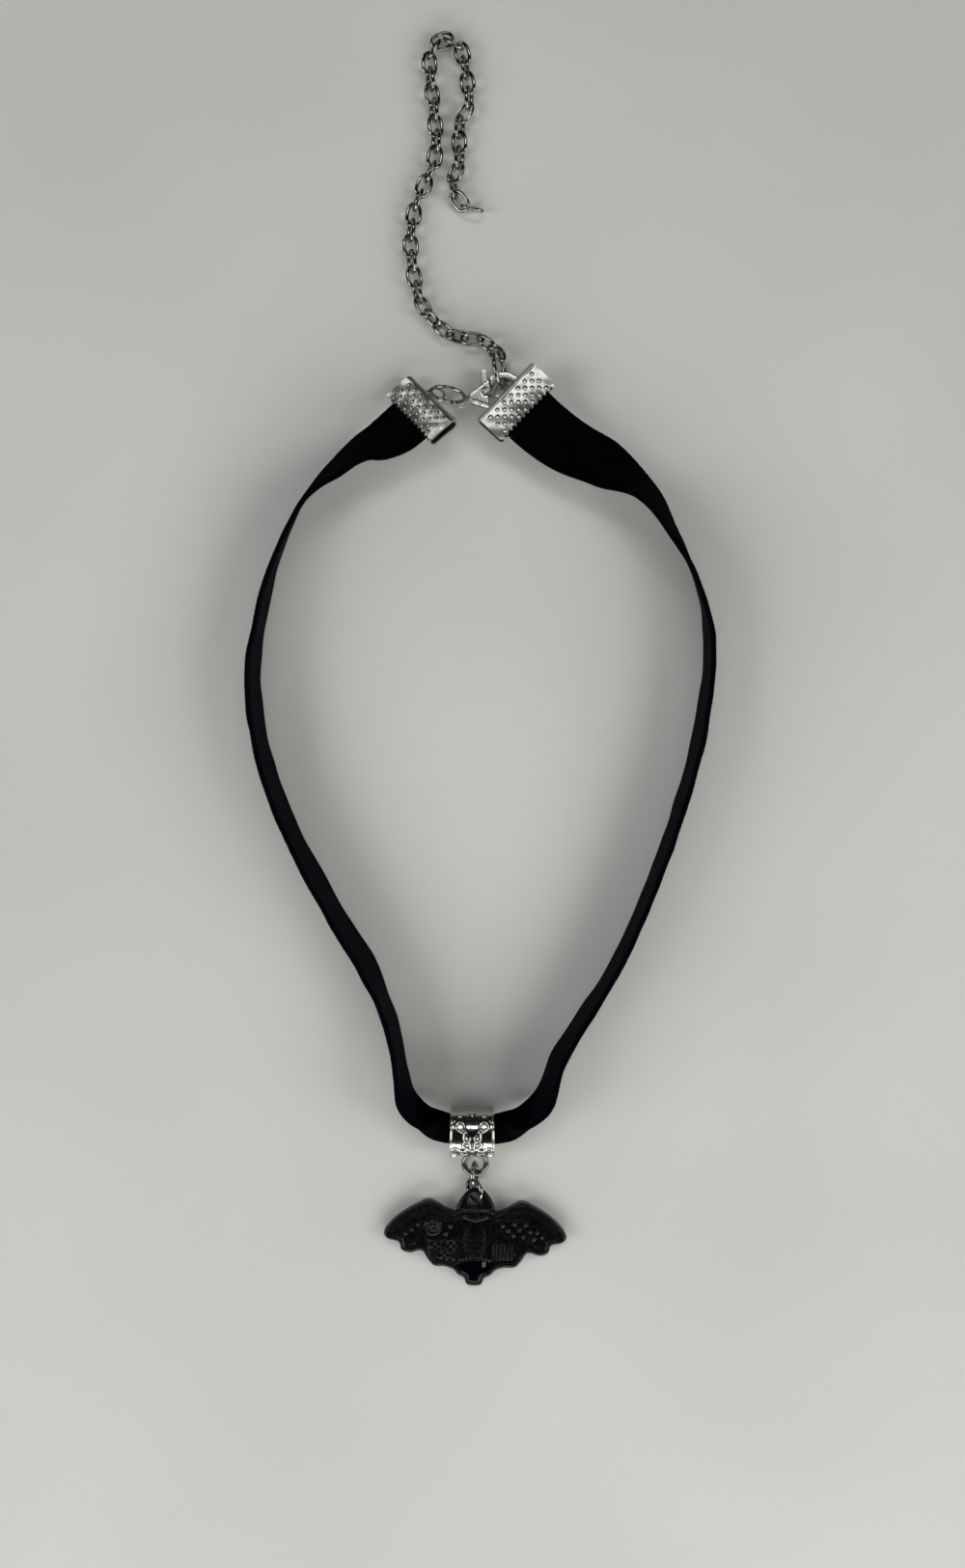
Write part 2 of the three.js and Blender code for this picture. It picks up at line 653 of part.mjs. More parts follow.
function addBail() {
  const ring = new THREE.TorusGeometry(bailRingRadius, bailRingWire / 2, 8, 16);
  ring.translate(bailRingOffset, -bailRingReach, 0).rotateX(bailRingDrop * degree);
  const solid = join([tube(bailRadius, bailLength, bailSides), ring])
    .subtract(toSolid(tube(bailRadius - bailWall, 2 * bailLength, bailSides)));
  const bail = addPiece('bail', toGeometry(solid), materials.plating);
  bail.position.copy(bailCentre);
}

addBail();

// The pendant

const batHole = new THREE.Vector3(batHoleAcross, batHeight * batHoleRise, 0);

// The bat's outline, drawn in from its edge by a distance
function batShape(inset) {
  const half = batOutline.map((p) => new THREE.Vector2(p.across * batSpan, p.up * batHeight));
  const mirrored = half.map((p) => new THREE.Vector2(-p.x, p.y)).reverse();
  const curve = new THREE.CatmullRomCurve3(
    [...half, ...mirrored].map((p) => new THREE.Vector3(p.x, p.y, 0)), true, 'centripetal',
  );
  const count = 2 * (half.length + mirrored.length);
  const edge = curve.getPoints(count).slice(0, -1);
  const drawn = edge.map((p, i) => {
    const tangent = curve.getTangent(i / count);
    return new THREE.Vector3(p.x + inset * tangent.y, p.y - inset * tangent.x, 0);
  });
  const clear = drawn.filter((p) => edge.every((q) => p.distanceTo(q) > batKeptInset * inset));
  return new THREE.Shape(clear.map((p) => new THREE.Vector2(p.x, p.y)).reverse());
}

// A low bar with a roof-shaped section standing on the bat's field, between two places given as shares of
// its span and height
function ridge(from, to, width, height) {
  const start = new THREE.Vector2(from[0] * batSpan, from[1] * batHeight);
  const end = new THREE.Vector2(to[0] * batSpan, to[1] * batHeight);
  const shape = new THREE.Shape([
    new THREE.Vector2(-width / 2, -batThickness / 2),
    new THREE.Vector2(width / 2, -batThickness / 2),
    new THREE.Vector2(width / 4, height),
    new THREE.Vector2(-width / 4, height),
  ]);
  const depth = start.distanceTo(end);
  const geometry = new THREE.ExtrudeGeometry(shape, { depth, bevelEnabled: false });
  geometry.rotateX(Math.PI / 2).rotateZ(Math.atan2(end.y - start.y, end.x - start.x) + Math.PI / 2);
  return geometry.translate(start.x, start.y, batThickness - batRimHeight);
}

// The raised work on the bat's field: ribbed body, wing bones, a swirl and a patch of beads
function batRelief() {
  const field = batThickness - batRimHeight;
  const bones = batBones.flatMap(({ from, to, width, height }) => [1, -1].map(
    (side) => ridge([side * from[0], from[1]], [side * to[0], to[1]], width, height),
  ));
  const ribs = batRibs.rises.map(
    (rise) => ridge([-batRibs.reach, rise], [batRibs.reach, rise], batRibs.width, batRibs.height),
  );
  const body = new THREE.SphereGeometry(1, 14, 7)
    .scale(batSpan * batBody.across, batHeight * batBody.up, batBody.height)
    .translate(0, -batHeight * batBody.drop, field - batBody.sink);
  const swirl = new THREE.TorusGeometry(batSwirl.radius, batSwirl.thickness, 5, 14)
    .translate(batSpan * batSwirl.at[0], batHeight * batSwirl.at[1], field + batSwirl.stand);
  const beads = batBeads.at.map(([x, y]) => new THREE.SphereGeometry(batBeads.radius, 7, 5)
    .translate(x * batSpan, y * batHeight, field + batBeads.stand));
  const tail = new THREE.ConeGeometry(1, 1, 4).rotateX(Math.PI / 2)
    .scale(batSpan * batTail.across, batHeight * batTail.up, batThickness)
    .translate(0, -batHeight * batTail.drop, field - batThickness / 2 + batTail.height);
  return [...bones, ...ribs, body, swirl, ...beads, tail];
}

function addBat() {
  const plate = new THREE.ExtrudeGeometry(batShape(batEdge), {
    depth: batThickness - batEdge, bevelEnabled: true, bevelThickness: batEdge, bevelSize: batEdge,
    bevelSegments: 2,
  });
  const pocket = new THREE.ExtrudeGeometry(batShape(batRim), { depth: batThickness, bevelEnabled: false })
    .translate(0, 0, batThickness - batRimHeight);
  const floor = new THREE.BoxGeometry(2 * batSpan, 2 * batSpan, batThickness)
    .translate(0, 0, -batThickness / 2);
  const hole = disc(batHole.x, batHole.y, batHoleDiameter / 2, 4 * batThickness, batHoleSides);
  const head = (z) => toSolid(new THREE.BoxGeometry(batSpan * batHeadWidth, batHeight, batThickness)
    .translate(0, batHeight * (batHeadStart + 0.5), z));
  const field = toSolid(plate).subtract(toSolid(pocket));
  const solid = batRelief().map(toSolid).reduce((whole, piece) => whole.add(piece), field)
    .subtract(toSolid(floor)).subtract(toSolid(hole))
    .subtract(head(batHeadTop + batThickness / 2)).subtract(head(batHeadFloor - batThickness / 2));
  const bat = addPiece('bat_pendant', toGeometry(solid), materials.resin);
  const hang = batHole.clone().applyAxisAngle(up, batTurn * degree);
  bat.position.set(pendantHang.x - hang.x, pendantHang.y - hang.y, 0);
  bat.rotation.z = batTurn * degree;
}

addBat();

function addPendantRing(name, diameter, wire, pose) {
  const centre = new THREE.Vector3(pose.x, pose.y, pose.height);
  addRing(name, wireRing(diameter, diameter, wire, ringSides, wireSides), centre, pose);
}

addPendantRing('jump_ring_bail', upperRingDiameter, upperRingWire, upperRingPose);
addPendantRing('jump_ring_bat', lowerRingDiameter, lowerRingWire, lowerRingPose);

// The origin is the middle of the whole necklace's footprint, on the table
const extent = new THREE.Box3().setFromObject(necklace, true);
const middle = extent.getCenter(new THREE.Vector3());
necklace.position.set(-middle.x, -middle.y, -extent.min.z);

export default necklace;
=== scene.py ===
import math

import bmesh
import bpy
import numpy as np
from mathutils import Matrix, Vector


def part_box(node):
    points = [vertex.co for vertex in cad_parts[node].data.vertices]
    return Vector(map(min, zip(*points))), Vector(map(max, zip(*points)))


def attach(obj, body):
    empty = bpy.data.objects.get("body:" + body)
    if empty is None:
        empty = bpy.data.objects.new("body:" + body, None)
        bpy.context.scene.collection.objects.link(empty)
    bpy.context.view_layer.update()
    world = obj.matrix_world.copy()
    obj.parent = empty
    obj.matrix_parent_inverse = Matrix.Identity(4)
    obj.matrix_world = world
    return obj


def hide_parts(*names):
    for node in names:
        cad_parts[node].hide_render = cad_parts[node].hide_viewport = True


# A velvet ribbon choker lying on a pale table and seen from straight above: a black ribbon on its edge in a
# pear-shaped loop, silver-plated fittings at its ends, an extender chain, and a resin bat on a cast bail.
# Lengths are in millimetres here, and each mesh is turned into metres when it is made.

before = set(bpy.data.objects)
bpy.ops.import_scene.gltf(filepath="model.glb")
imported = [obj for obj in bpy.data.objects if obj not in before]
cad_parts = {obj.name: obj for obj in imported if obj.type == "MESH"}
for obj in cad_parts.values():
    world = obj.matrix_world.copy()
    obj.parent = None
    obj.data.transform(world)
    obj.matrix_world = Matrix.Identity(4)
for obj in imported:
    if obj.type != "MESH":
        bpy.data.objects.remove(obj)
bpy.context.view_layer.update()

MM = 0.001
draw = np.random.default_rng(11)
UP = np.array([0.0, 0.0, 1.0])


# Colours and nodes

def linear(code):
    """The linear colour of an sRGB hex code."""
    parts = [int(code[i:i + 2], 16) / 255 for i in (1, 3, 5)]
    return [c / 12.92 if c <= 0.04045 else ((c + 0.055) / 1.055) ** 2.4 for c in parts] + [1.0]


def add(tree, kind, inputs=None, out=None, **settings):
    """One node with its settings and links. It gives back the node, or one of its outputs."""
    node = tree.nodes.new(kind)
    for name, value in settings.items():
        setattr(node, name, value)
    for name, value in (inputs or {}).items():
        if isinstance(value, bpy.types.NodeSocket):
            tree.links.new(value, node.inputs[name])
        else:
            node.inputs[name].default_value = value
    return node if out is None else node.outputs[out]


def finish_named(name, build, **shader):
    """A material whose nodes build() adds; shader holds the surface values that are the same all over."""
    material = bpy.data.materials.new(name)
    material.use_nodes = True
    tree = material.node_tree
    tree.nodes.clear()
    surface = add(tree, "ShaderNodeBsdfPrincipled", {**shader, **build(tree)}, out="BSDF")
    add(tree, "ShaderNodeOutputMaterial", {"Surface": surface})
    return material


def per_mm(size):
    """The scale of a pattern whose marks are about size millimetres across, on coordinates in metres."""
    return 1 / (size * MM)


# Finishes

PILE_PATCH = 4.0
# The pile's real fibres are about 0.02 mm thick, too fine to show, so this grain and the tufts are coarser
FIBRE_SIZE = 0.22


def dye_velvet(tree):
    place = add(tree, "ShaderNodeTexCoord", out="Object")
    patches = add(tree, "ShaderNodeTexNoise", {
        "Vector": place, "Scale": per_mm(PILE_PATCH), "Detail": 3.0, "Roughness": 0.55}, out="Fac")
    fibres = add(tree, "ShaderNodeTexNoise", {
        "Vector": place, "Scale": per_mm(FIBRE_SIZE), "Detail": 4.0, "Roughness": 0.7}, out="Fac")
    share = add(tree, "ShaderNodeMapRange", {0: patches, 1: 0.3, 2: 0.7}, out="Result")
    return {
        "Base Color": add(tree, "ShaderNodeMix", {
            0: share, 6: linear("#000001"), 7: linear("#030407")}, out=2, data_type="RGBA"),
        "Roughness": add(tree, "ShaderNodeMapRange", {0: fibres, 1: 0.3, 2: 0.7, 3: 0.8, 4: 1.0}, out="Result"),
        "Normal": add(tree, "ShaderNodeBump", {"Height": fibres, "Distance": 0.12 * MM}, out="Normal"),
    }


# Cut-pile polyester velvet, dyed black: almost no light comes back from the standing fibres, and what does
# is a faint bluish sheen where they lean away.
velvet_pile = finish_named("velvet_pile", dye_velvet, **{
    "Sheen Weight": 0.015, "Sheen Roughness": 0.4, "Sheen Tint": linear("#4A5A80"), "Specular IOR Level": 0.03,
})

# The back's real yarns are about 0.15 mm apart, too fine to show, so they are drawn twice as coarse
THREAD_PITCH = 0.34
# A wave texture has 20 / (2 pi) bands in a unit of its scale
WAVE_SCALE = 2 * math.pi / 20 * per_mm(THREAD_PITCH)
DYE_CLOUD = 3.0


def weave_back(tree):
    place = add(tree, "ShaderNodeUVMap", out="UV", uv_map="ribbon")
    yarn = {"Vector": place, "Scale": WAVE_SCALE, "Distortion": 0.4, "Detail": 1.0}
    warp = add(tree, "ShaderNodeTexWave", yarn, out="Fac", bands_direction="X")
    weft = add(tree, "ShaderNodeTexWave", yarn, out="Fac", bands_direction="Y")
    threads = add(tree, "ShaderNodeMath", {0: warp, 1: weft}, out=0, operation="MULTIPLY")
    clouds = add(tree, "ShaderNodeTexNoise", {
        "Vector": add(tree, "ShaderNodeTexCoord", out="Object"),
        "Scale": per_mm(DYE_CLOUD), "Detail": 3.0, "Roughness": 0.55}, out="Fac")
    share = add(tree, "ShaderNodeMapRange", {0: clouds, 1: 0.3, 2: 0.7}, out="Result")
    return {
        "Base Color": add(tree, "ShaderNodeMix", {
            0: share, 6: linear("#010206"), 7: linear("#03060E")}, out=2, data_type="RGBA"),
        "Roughness": add(tree, "ShaderNodeMapRange", {0: threads, 3: 0.75, 4: 0.55}, out="Result"),
        "Normal": add(tree, "ShaderNodeBump", {"Height": threads, "Distance": 0.05 * MM}, out="Normal"),
    }


# The ribbon's plain woven back: the same black in filament yarn, a little smoother, so it picks up a navy cast
ribbon_back = finish_named("ribbon_back", weave_back, **{
    "Sheen Weight": 0.012, "Sheen Roughness": 0.4, "Sheen Tint": linear("#4A5E90"), "Specular IOR Level": 0.02,
})

PLATING_CLOUD = 1.6
HANDLING_WEAR = 0.28


def plate_metal(dull, bright, smooth, rough, ripple):
    """What builds a plated finish between two colours and two roughnesses, over ripples that deep in mm."""
    def build(tree):
        place = add(tree, "ShaderNodeTexCoord", out="Object")
        cast = add(tree, "ShaderNodeTexNoise", {
            "Vector": place, "Scale": per_mm(PLATING_CLOUD), "Detail": 3.0, "Roughness": 0.55}, out="Fac")
        wear = add(tree, "ShaderNodeTexNoise", {
            "Vector": place, "Scale": per_mm(HANDLING_WEAR), "Detail": 5.0, "Roughness": 0.7}, out="Fac")
        share = add(tree, "ShaderNodeMapRange", {0: cast, 1: 0.3, 2: 0.7}, out="Result")
        return {
            "Base Color": add(tree, "ShaderNodeMix", {
                0: share, 6: linear(dull), 7: linear(bright)}, out=2, data_type="RGBA"),
            "Roughness": add(tree, "ShaderNodeMapRange", {
                0: wear, 1: 0.3, 2: 0.7, 3: smooth, 4: rough}, out="Result"),
            "Normal": add(tree, "ShaderNodeBump", {"Height": cast, "Distance": ripple * MM}, out="Normal"),
        }
    return build


# Nickel plating over drawn steel wire: mirror-like, its colour drawn darker as painted shade for the dark
# reflections and shadows among the links, so the links are dark with thin glints
plated_wire = finish_named("plated_wire", plate_metal("#6A6864", "#9A9792", 0.06, 0.17, 0.02), Metallic=1.0)

# The same plating over polished cast zinc, drawn without the wire's painted shade, so brighter, with broad
# smooth highlights
plated_clasp = finish_named("plated_clasp", plate_metal("#BDBBB6", "#D4D1CC", 0.2, 0.32, 0.01), Metallic=1.0)

PRESS_DENT = 1.9
SHEET_WEAR = 0.2


def press_sheet(tree):
    place = add(tree, "ShaderNodeTexCoord", out="Object")
    dents = add(tree, "ShaderNodeTexNoise", {
        "Vector": place, "Scale": per_mm(PRESS_DENT), "Detail": 1.5, "Roughness": 0.55}, out="Fac")
    wear = add(tree, "ShaderNodeTexNoise", {
        "Vector": place, "Scale": per_mm(SHEET_WEAR), "Detail": 5.0, "Roughness": 0.75}, out="Fac")
    grime_and_painted_shade = add(tree, "ShaderNodeAttribute", out="Fac", attribute_name="grime_and_painted_shade")
    share = add(tree, "ShaderNodeMapRange", {0: wear, 1: 0.3, 2: 0.7}, out="Result")
    plate = add(tree, "ShaderNodeMix", {
        0: share, 6: linear("#A6A5A2"), 7: linear("#B9B7B3")}, out=2, data_type="RGBA")
    return {
        # The ring at the foot of each dimple is darkened, part grime and part painted shade
        "Base Color": add(tree, "ShaderNodeMix", {
            0: grime_and_painted_shade, 6: plate, 7: linear("#423F3B")}, out=2, data_type="RGBA"),
        "Roughness": add(tree, "ShaderNodeMapRange", {0: wear, 1: 0.3, 2: 0.7, 3: 0.25, 4: 0.36}, out="Result"),
        "Normal": add(tree, "ShaderNodeBump", {"Height": dents, "Distance": 0.04 * MM}, out="Normal"),
    }


# Nickel-plated pressed steel sheet: paler than the wire and buckled by the press, so its glints break up,
# with a dark ring at the foot of each dimple that is part grime and part painted shade
pressed_plate = finish_named("pressed_plate", press_sheet, Metallic=1.0)

CASTING_RIPPLE = 1.2
CASTING_WEAR = 0.3


def antique_cast(tree):
    place = add(tree, "ShaderNodeTexCoord", out="Object")
    relief = add(tree, "ShaderNodeAttribute", out="Fac", attribute_name="relief")
    wear = add(tree, "ShaderNodeTexNoise", {
        "Vector": place, "Scale": per_mm(CASTING_WEAR), "Detail": 4.0, "Roughness": 0.7}, out="Fac")
    ripple = add(tree, "ShaderNodeTexNoise", {
        "Vector": place, "Scale": per_mm(CASTING_RIPPLE), "Detail": 3.0, "Roughness": 0.55}, out="Fac")
    return {
        "Base Color": add(tree, "ShaderNodeMix", {
            0: relief, 6: linear("#1E1C1A"), 7: linear("#CFCDC8")}, out=2, data_type="RGBA"),
        "Roughness": add(tree, "ShaderNodeMapRange", {0: wear, 1: 0.3, 2: 0.7, 3: 0.09, 4: 0.26}, out="Result"),
        "Normal": add(tree, "ShaderNodeBump", {"Height": ripple, "Distance": 0.03 * MM}, out="Normal"),
    }


# Antiqued cast zinc with bright plating: the recesses keep a brown-grey patina and the raised lines shine
antique_plate = finish_named("antique_plate", antique_cast, Metallic=1.0)

MOULD_GRAIN = 0.5


def cast_resin(tree):
    place = add(tree, "ShaderNodeTexCoord", out="Object")
    relief = add(tree, "ShaderNodeAttribute", out="Fac", attribute_name="relief")
    polish = add(tree, "ShaderNodeAttribute", out="Fac", attribute_name="polish")
    grain = add(tree, "ShaderNodeTexNoise", {
        "Vector": place, "Scale": per_mm(MOULD_GRAIN), "Detail": 4.0, "Roughness": 0.6}, out="Fac")
    satin = add(tree, "ShaderNodeMapRange", {0: grain, 1: 0.3, 2: 0.7, 3: 0.2, 4: 0.4}, out="Result")
    share = add(tree, "ShaderNodeMapRange", {0: relief, 1: 0.2, 2: 0.9}, out="Result")
    pitting = add(tree, "ShaderNodeMapRange", {0: polish, 3: 0.6, 4: 0.0}, out="Result")
    return {
        # The raised work is drawn a little lighter than the field, a painted highlight
        "Base Color": add(tree, "ShaderNodeMix", {
            0: share, 6: linear("#010205"), 7: linear("#04060A")}, out=2, data_type="RGBA"),
        "Roughness": add(tree, "ShaderNodeMapRange", {0: polish, 3: satin, 4: 0.06}, out="Result"),
        "Normal": add(tree, "ShaderNodeBump", {
            "Height": grain, "Distance": 0.05 * MM, "Strength": pitting}, out="Normal"),
    }


# Black-pigmented casting resin out of a soft mould: satin on the worked field, glossy on the tail, with the
# raised work and rim a shade lighter as a painted highlight
black_resin = finish_named("black_resin", cast_resin, **{"Specular IOR Level": 0.25})

TABLE_GRAIN = 0.5
TABLE_CLOUD = 60.0


def prime_table(tree):
    place = add(tree, "ShaderNodeTexCoord", out="Object")
    grain = add(tree, "ShaderNodeTexNoise", {
        "Vector": place, "Scale": per_mm(TABLE_GRAIN), "Detail": 3.0, "Roughness": 0.6}, out="Fac")
    clouds = add(tree, "ShaderNodeTexNoise", {
        "Vector": place, "Scale": per_mm(TABLE_CLOUD), "Detail": 1.0, "Roughness": 0.55}, out="Fac")
    share = add(tree, "ShaderNodeMapRange", {0: clouds, 1: 0.3, 2: 0.7}, out="Result")
    return {
        "Base Color": add(tree, "ShaderNodeMix", {
            0: share, 6: linear("#C4C4C2"), 7: linear("#CBCBC9")}, out=2, data_type="RGBA"),
        "Normal": add(tree, "ShaderNodeBump", {
            "Height": grain, "Distance": 0.05 * MM, "Strength": 0.5}, out="Normal"),
    }


# The plain matt table top: pale grey, with hardly any grain
pale_table = finish_named("pale_table", prime_table, Roughness=0.9)


# Making and placing pieces

def piece_of(name, points, faces, materials, nodes, body="necklace", sharp=None, marks=None):
    """A mesh piece from points in millimetres, riding on a body in place of the nodes that it stands for."""
    mesh = bpy.data.meshes.new(name)
    mesh.from_pydata((np.asarray(points) * MM).tolist(), [], faces)
    for material in materials:
        mesh.materials.append(material)
    for mark, values in (marks or {}).items():
        mesh.attributes.new(mark, "FLOAT", "POINT").data.foreach_set("value", np.asarray(values, np.float32))
    work = bmesh.new()
    work.from_mesh(mesh)
    bmesh.ops.recalc_face_normals(work, faces=work.faces)
    work.to_mesh(mesh)
    work.free()
    mesh.shade_smooth()
    if sharp:
        mesh.set_sharp_from_angle(angle=math.radians(sharp))
    piece = bpy.data.objects.new(name, mesh)
    bpy.context.scene.collection.objects.link(piece)
    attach(piece, body)
    if nodes:
        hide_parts(*nodes)
    return piece


def shell(outer, inner, around=False):
    """The points and faces of a closed wall between two grids; around joins the last column to the first."""
    rows, columns = outer.shape[:2]
    points = np.concatenate([outer.reshape(-1, 3), inner.reshape(-1, 3)])
    half = rows * columns
    spans = columns if around else columns - 1
    faces = []
    for i in range(rows - 1):
        for j in range(spans):
            beside = (j + 1) % columns
            a, b = i * columns + j, i * columns + beside
            c, d = b + columns, a + columns
            faces.append((a, b, c, d))
            faces.append((half + d, half + c, half + b, half + a))
    for i in (0, rows - 1):
        for j in range(spans):
            a, b = i * columns + j, i * columns + (j + 1) % columns
            faces.append((a, b, half + b, half + a))
    if not around:
        for j in (0, columns - 1):
            for i in range(rows - 1):
                a, b = i * columns + j, (i + 1) * columns + j
                faces.append((a, b, half + b, half + a))
    return points, faces


def wire_loop(middles, outs, normal, radius, sides, seam=None):
    """A round wire along a closed line of middles. At a seam the wire's two cut ends stand a little apart."""
    angles = np.arange(sides) / sides * 2 * math.pi
    rows = []
    for middle, out in zip(middles, outs):
        rows.append([middle + radius * (out * math.cos(a) + normal * math.sin(a)) for a in angles])
    points = np.array(rows).reshape(-1, 3)
    count = len(rows)
    faces = []
    for i in range(count):
        if seam is not None and i == seam:
            continue
        following = (i + 1) % count
        for j in range(sides):
            beside = (j + 1) % sides
            here, there = i * sides, following * sides
            faces.append((here + j, there + j, there + beside, here + beside))
    if seam is not None:
        faces.append(tuple(seam * sides + j for j in range(sides)))
        faces.append(tuple(((seam + 1) % count) * sides + j for j in reversed(range(sides))))
    return points, faces


def oval_wire(length, width, wire, steps=44, sides=12, squareness=1.0, seam_gap=None):
    """An oval of bent wire lying in the XY plane with its length along X."""
    reach, half = (length - wire) / 2, (width - wire) / 2
    turns = np.arange(steps) / steps * 2 * math.pi
    if seam_gap:
        middle = math.pi / 2
        open_half = seam_gap / 2 / half
        turns = np.linspace(middle + open_half, middle + 2 * math.pi - open_half, steps)
    shaped = lambda v: np.sign(v) * np.abs(v) ** squareness
    bend = np.stack([reach * shaped(np.cos(turns)), half * shaped(np.sin(turns)), 0 * turns], 1)
    outs = np.stack([np.cos(turns) / length, np.sin(turns) / width, 0 * turns], 1)
    outs /= np.linalg.norm(outs, axis=1)[:, None]
    seam = steps - 1 if seam_gap else None
    return wire_loop(bend, outs, UP, wire / 2, sides, seam)


def lie_of(node):
    """Where a ring or link of the frame lies: its middle, and its axes from the longest to the shortest."""
    found = np.array([v.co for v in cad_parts[node].data.vertices], float) / MM
    middle = found.mean(0)
    _, _, axes = np.linalg.svd(found - middle, full_matrices=False)
    spans = (found - middle) @ axes.T
    middle = middle + ((spans.max(0) + spans.min(0)) / 2) @ axes
    if np.linalg.det(axes) < 0:
        axes[2] = -axes[2]
    return middle, axes


# The ribbon

RIBBON_WIDTH = 10.0
RIBBON_THICKNESS = 1.0
LOOP_WIDTH = 75.0
LOOP_LENGTH = 120.0
RIBBON_BEND = 0.4
RIBBON_FOLD = math.radians(176)
RIBBON_TUCK = 3.2

# Across and along are shares of the loop's width and length, measured from the bail. Lean tips the top edge
# into the loop in degrees, lift raises the lower edge in ribbon widths, and fold is a share of its whole fold.
RIBBON_STATIONS = [
    # across, along, lean, lift, fold
    (-0.133, 0.984, 64, 0.15, 0), (-0.163, 0.968, 62, 0.13, 0), (-0.200, 0.954, 53, 0.09, 0),
    (-0.240, 0.944, 40, 0.04, 0), (-0.291, 0.920, 28, 0, 0), (-0.373, 0.868, 13, 0, 0),
    (-0.445, 0.762, 4, 0, 0), (-0.482, 0.616, -3, 0, 0), (-0.435, 0.470, -6, 0, 0),
    (-0.311, 0.311, -9, 0, 0), (-0.233, 0.231, -10, 0, 0), (-0.178, 0.150, -5, 0, 0),
    (-0.157, 0.082, -7, 0, 0), (-0.141, 0.042, -12, 0, 0.02), (-0.107, 0.016, -10, 0.04, 0.3),
    (-0.053, 0.004, -6, 0.2, 1), (0.055, 0.003, -6, 0.2, 1), (0.109, 0.012, -10, 0.04, 0.35),
    (0.157, 0.042, -12, 0, 0.03), (0.190, 0.098, -7, 0, 0), (0.240, 0.151, -4, 0, 0),
    (0.320, 0.231, -2, 0, 0), (0.428, 0.390, -2, 0, 0), (0.503, 0.550, -2, 0, 0),
    (0.524, 0.682, 2, 0, 0), (0.495, 0.762, 10, 0, 0), (0.432, 0.841, 20, 0, 0),
    (0.380, 0.887, 34, 0.02, 0), (0.293, 0.923, 65, 0.15, 0), (0.211, 0.947, 80, 0.32, 0),
    (0.150, 0.974, 86, 0.42, 0), (0.121, 0.991, 87, 0.43, 0),
]


class Curve:
    """A smooth curve through points, which keeps its bends even where the points crowd."""

    def __init__(self, points):
        self.points = np.array(points, float)
        ends = [2 * self.points[0] - self.points[1], 2 * self.points[-1] - self.points[-2]]
        self.held = np.vstack([ends[0], self.points, ends[1]])

    def at(self, t):
        spans = len(self.points) - 1
        place = min(max(t, 0.0), 1.0) * spans
        i = min(int(place), spans - 1)
        w = place - i
        p0, p1, p2, p3 = self.held[i:i + 4]
        steps = [max(np.linalg.norm(b - a), 1e-6) ** 0.5 for a, b in ((p0, p1), (p1, p2), (p2, p3))]
        out = ((p1 - p0) / steps[0] - (p2 - p0) / (steps[0] + steps[1]) + (p2 - p1) / steps[1]) * steps[1]
        into = ((p2 - p1) / steps[1] - (p3 - p1) / (steps[1] + steps[2]) + (p3 - p2) / steps[2]) * steps[1]
        c2 = -3 * p1 + 3 * p2 - 2 * out - into
        c3 = 2 * p1 - 2 * p2 + out + into
        return p1 + out * w + c2 * w * w + c3 * w ** 3

    def by_length(self, steps=4000):
        """The places along the curve that even shares of its length fall on."""
        places = np.linspace(0, 1, steps + 1)
        found = np.array([self.at(t) for t in places])
        run = np.concatenate([[0], np.cumsum(np.linalg.norm(np.diff(found, axis=0), axis=1))])
        return lambda share: float(np.interp(share * run[-1], run, places)), float(run[-1])


ribbon_path = Curve([(a * LOOP_WIDTH, b * LOOP_LENGTH, 0) for a, b, *_ in RIBBON_STATIONS])
ribbon_pose = Curve([(lean, lift * RIBBON_WIDTH, fold) for _, _, lean, lift, fold in RIBBON_STATIONS])
place_at, ribbon_length = ribbon_path.by_length()


def ribbon_frame(t):
    """The ribbon's directions at a place: along it, up its width, and out of its pile side."""
    ahead, behind = ribbon_path.at(min(t + 1e-4, 1.0)), ribbon_path.at(max(t - 1e-4, 0.0))
    along = (ahead - behind) / np.linalg.norm(ahead - behind)
    inward = np.cross(UP, along)
    lean = math.radians(ribbon_pose.at(t)[0])
    width = UP * math.cos(lean) + inward * math.sin(lean)
    pile = UP * math.sin(lean) - inward * math.cos(lean)
    return along, width, pile


def section_line(fold, places):
    """The middle line of the ribbon's section and its turn at each place, bent only in the middle."""
    turns = np.clip(places / RIBBON_BEND, -0.5, 0.5) * fold * RIBBON_FOLD
    steps = np.diff(places) * RIBBON_WIDTH
    between = (turns[1:] + turns[:-1]) / 2
    line = np.zeros((len(places), 2))
    line[1:, 0] = np.cumsum(steps * np.cos(between))
    line[1:, 1] = np.cumsum(-steps * np.sin(between))
    return line - (line.max(0) + line.min(0)) / 2, turns


def ribbon_spot(share):
    """The middle of the ribbon's section at a share of its length, with its directions and its fold."""
    t = place_at(share)
    _, lift, fold = ribbon_pose.at(t)
    along, width, pile = ribbon_frame(t)
    line, turns = section_line(fold, np.linspace(-0.5, 0.5, 9))
    half = RIBBON_THICKNESS / 2
    low = min(
        (x + s * half * math.sin(a)) * width[2] + (y + s * half * math.cos(a)) * pile[2]
        for (x, y), a in zip(line, turns) for s in (1, -1)
    )
    middle = ribbon_path.at(t)
    middle[2] = lift - low
    return middle, along, width, pile, fold


SPOTS = 340
spots = [ribbon_spot(i / SPOTS) for i in range(SPOTS + 1)]

PLACES = np.linspace(-0.5, 0.5, 33)


def ribbon_grid(offset):
    """The ribbon's surface at an offset from its middle line, as rows along it and columns across it."""
    rows = []
    for middle, along, width, pile, fold in spots:
        line, turns = section_line(fold, PLACES)
        offsets = offset(PLACES)
        x = line[:, 0] + offsets * np.sin(turns)
        y = line[:, 1] + offsets * np.cos(turns)
        rows.append(middle + x[:, None] * width + y[:, None] * pile)
    first = rows[0] - spots[0][1] * RIBBON_TUCK
    last = rows[-1] + spots[-1][1] * RIBBON_TUCK
    return np.array([first, *rows, last])


SELVEDGE_ROUND = 0.5


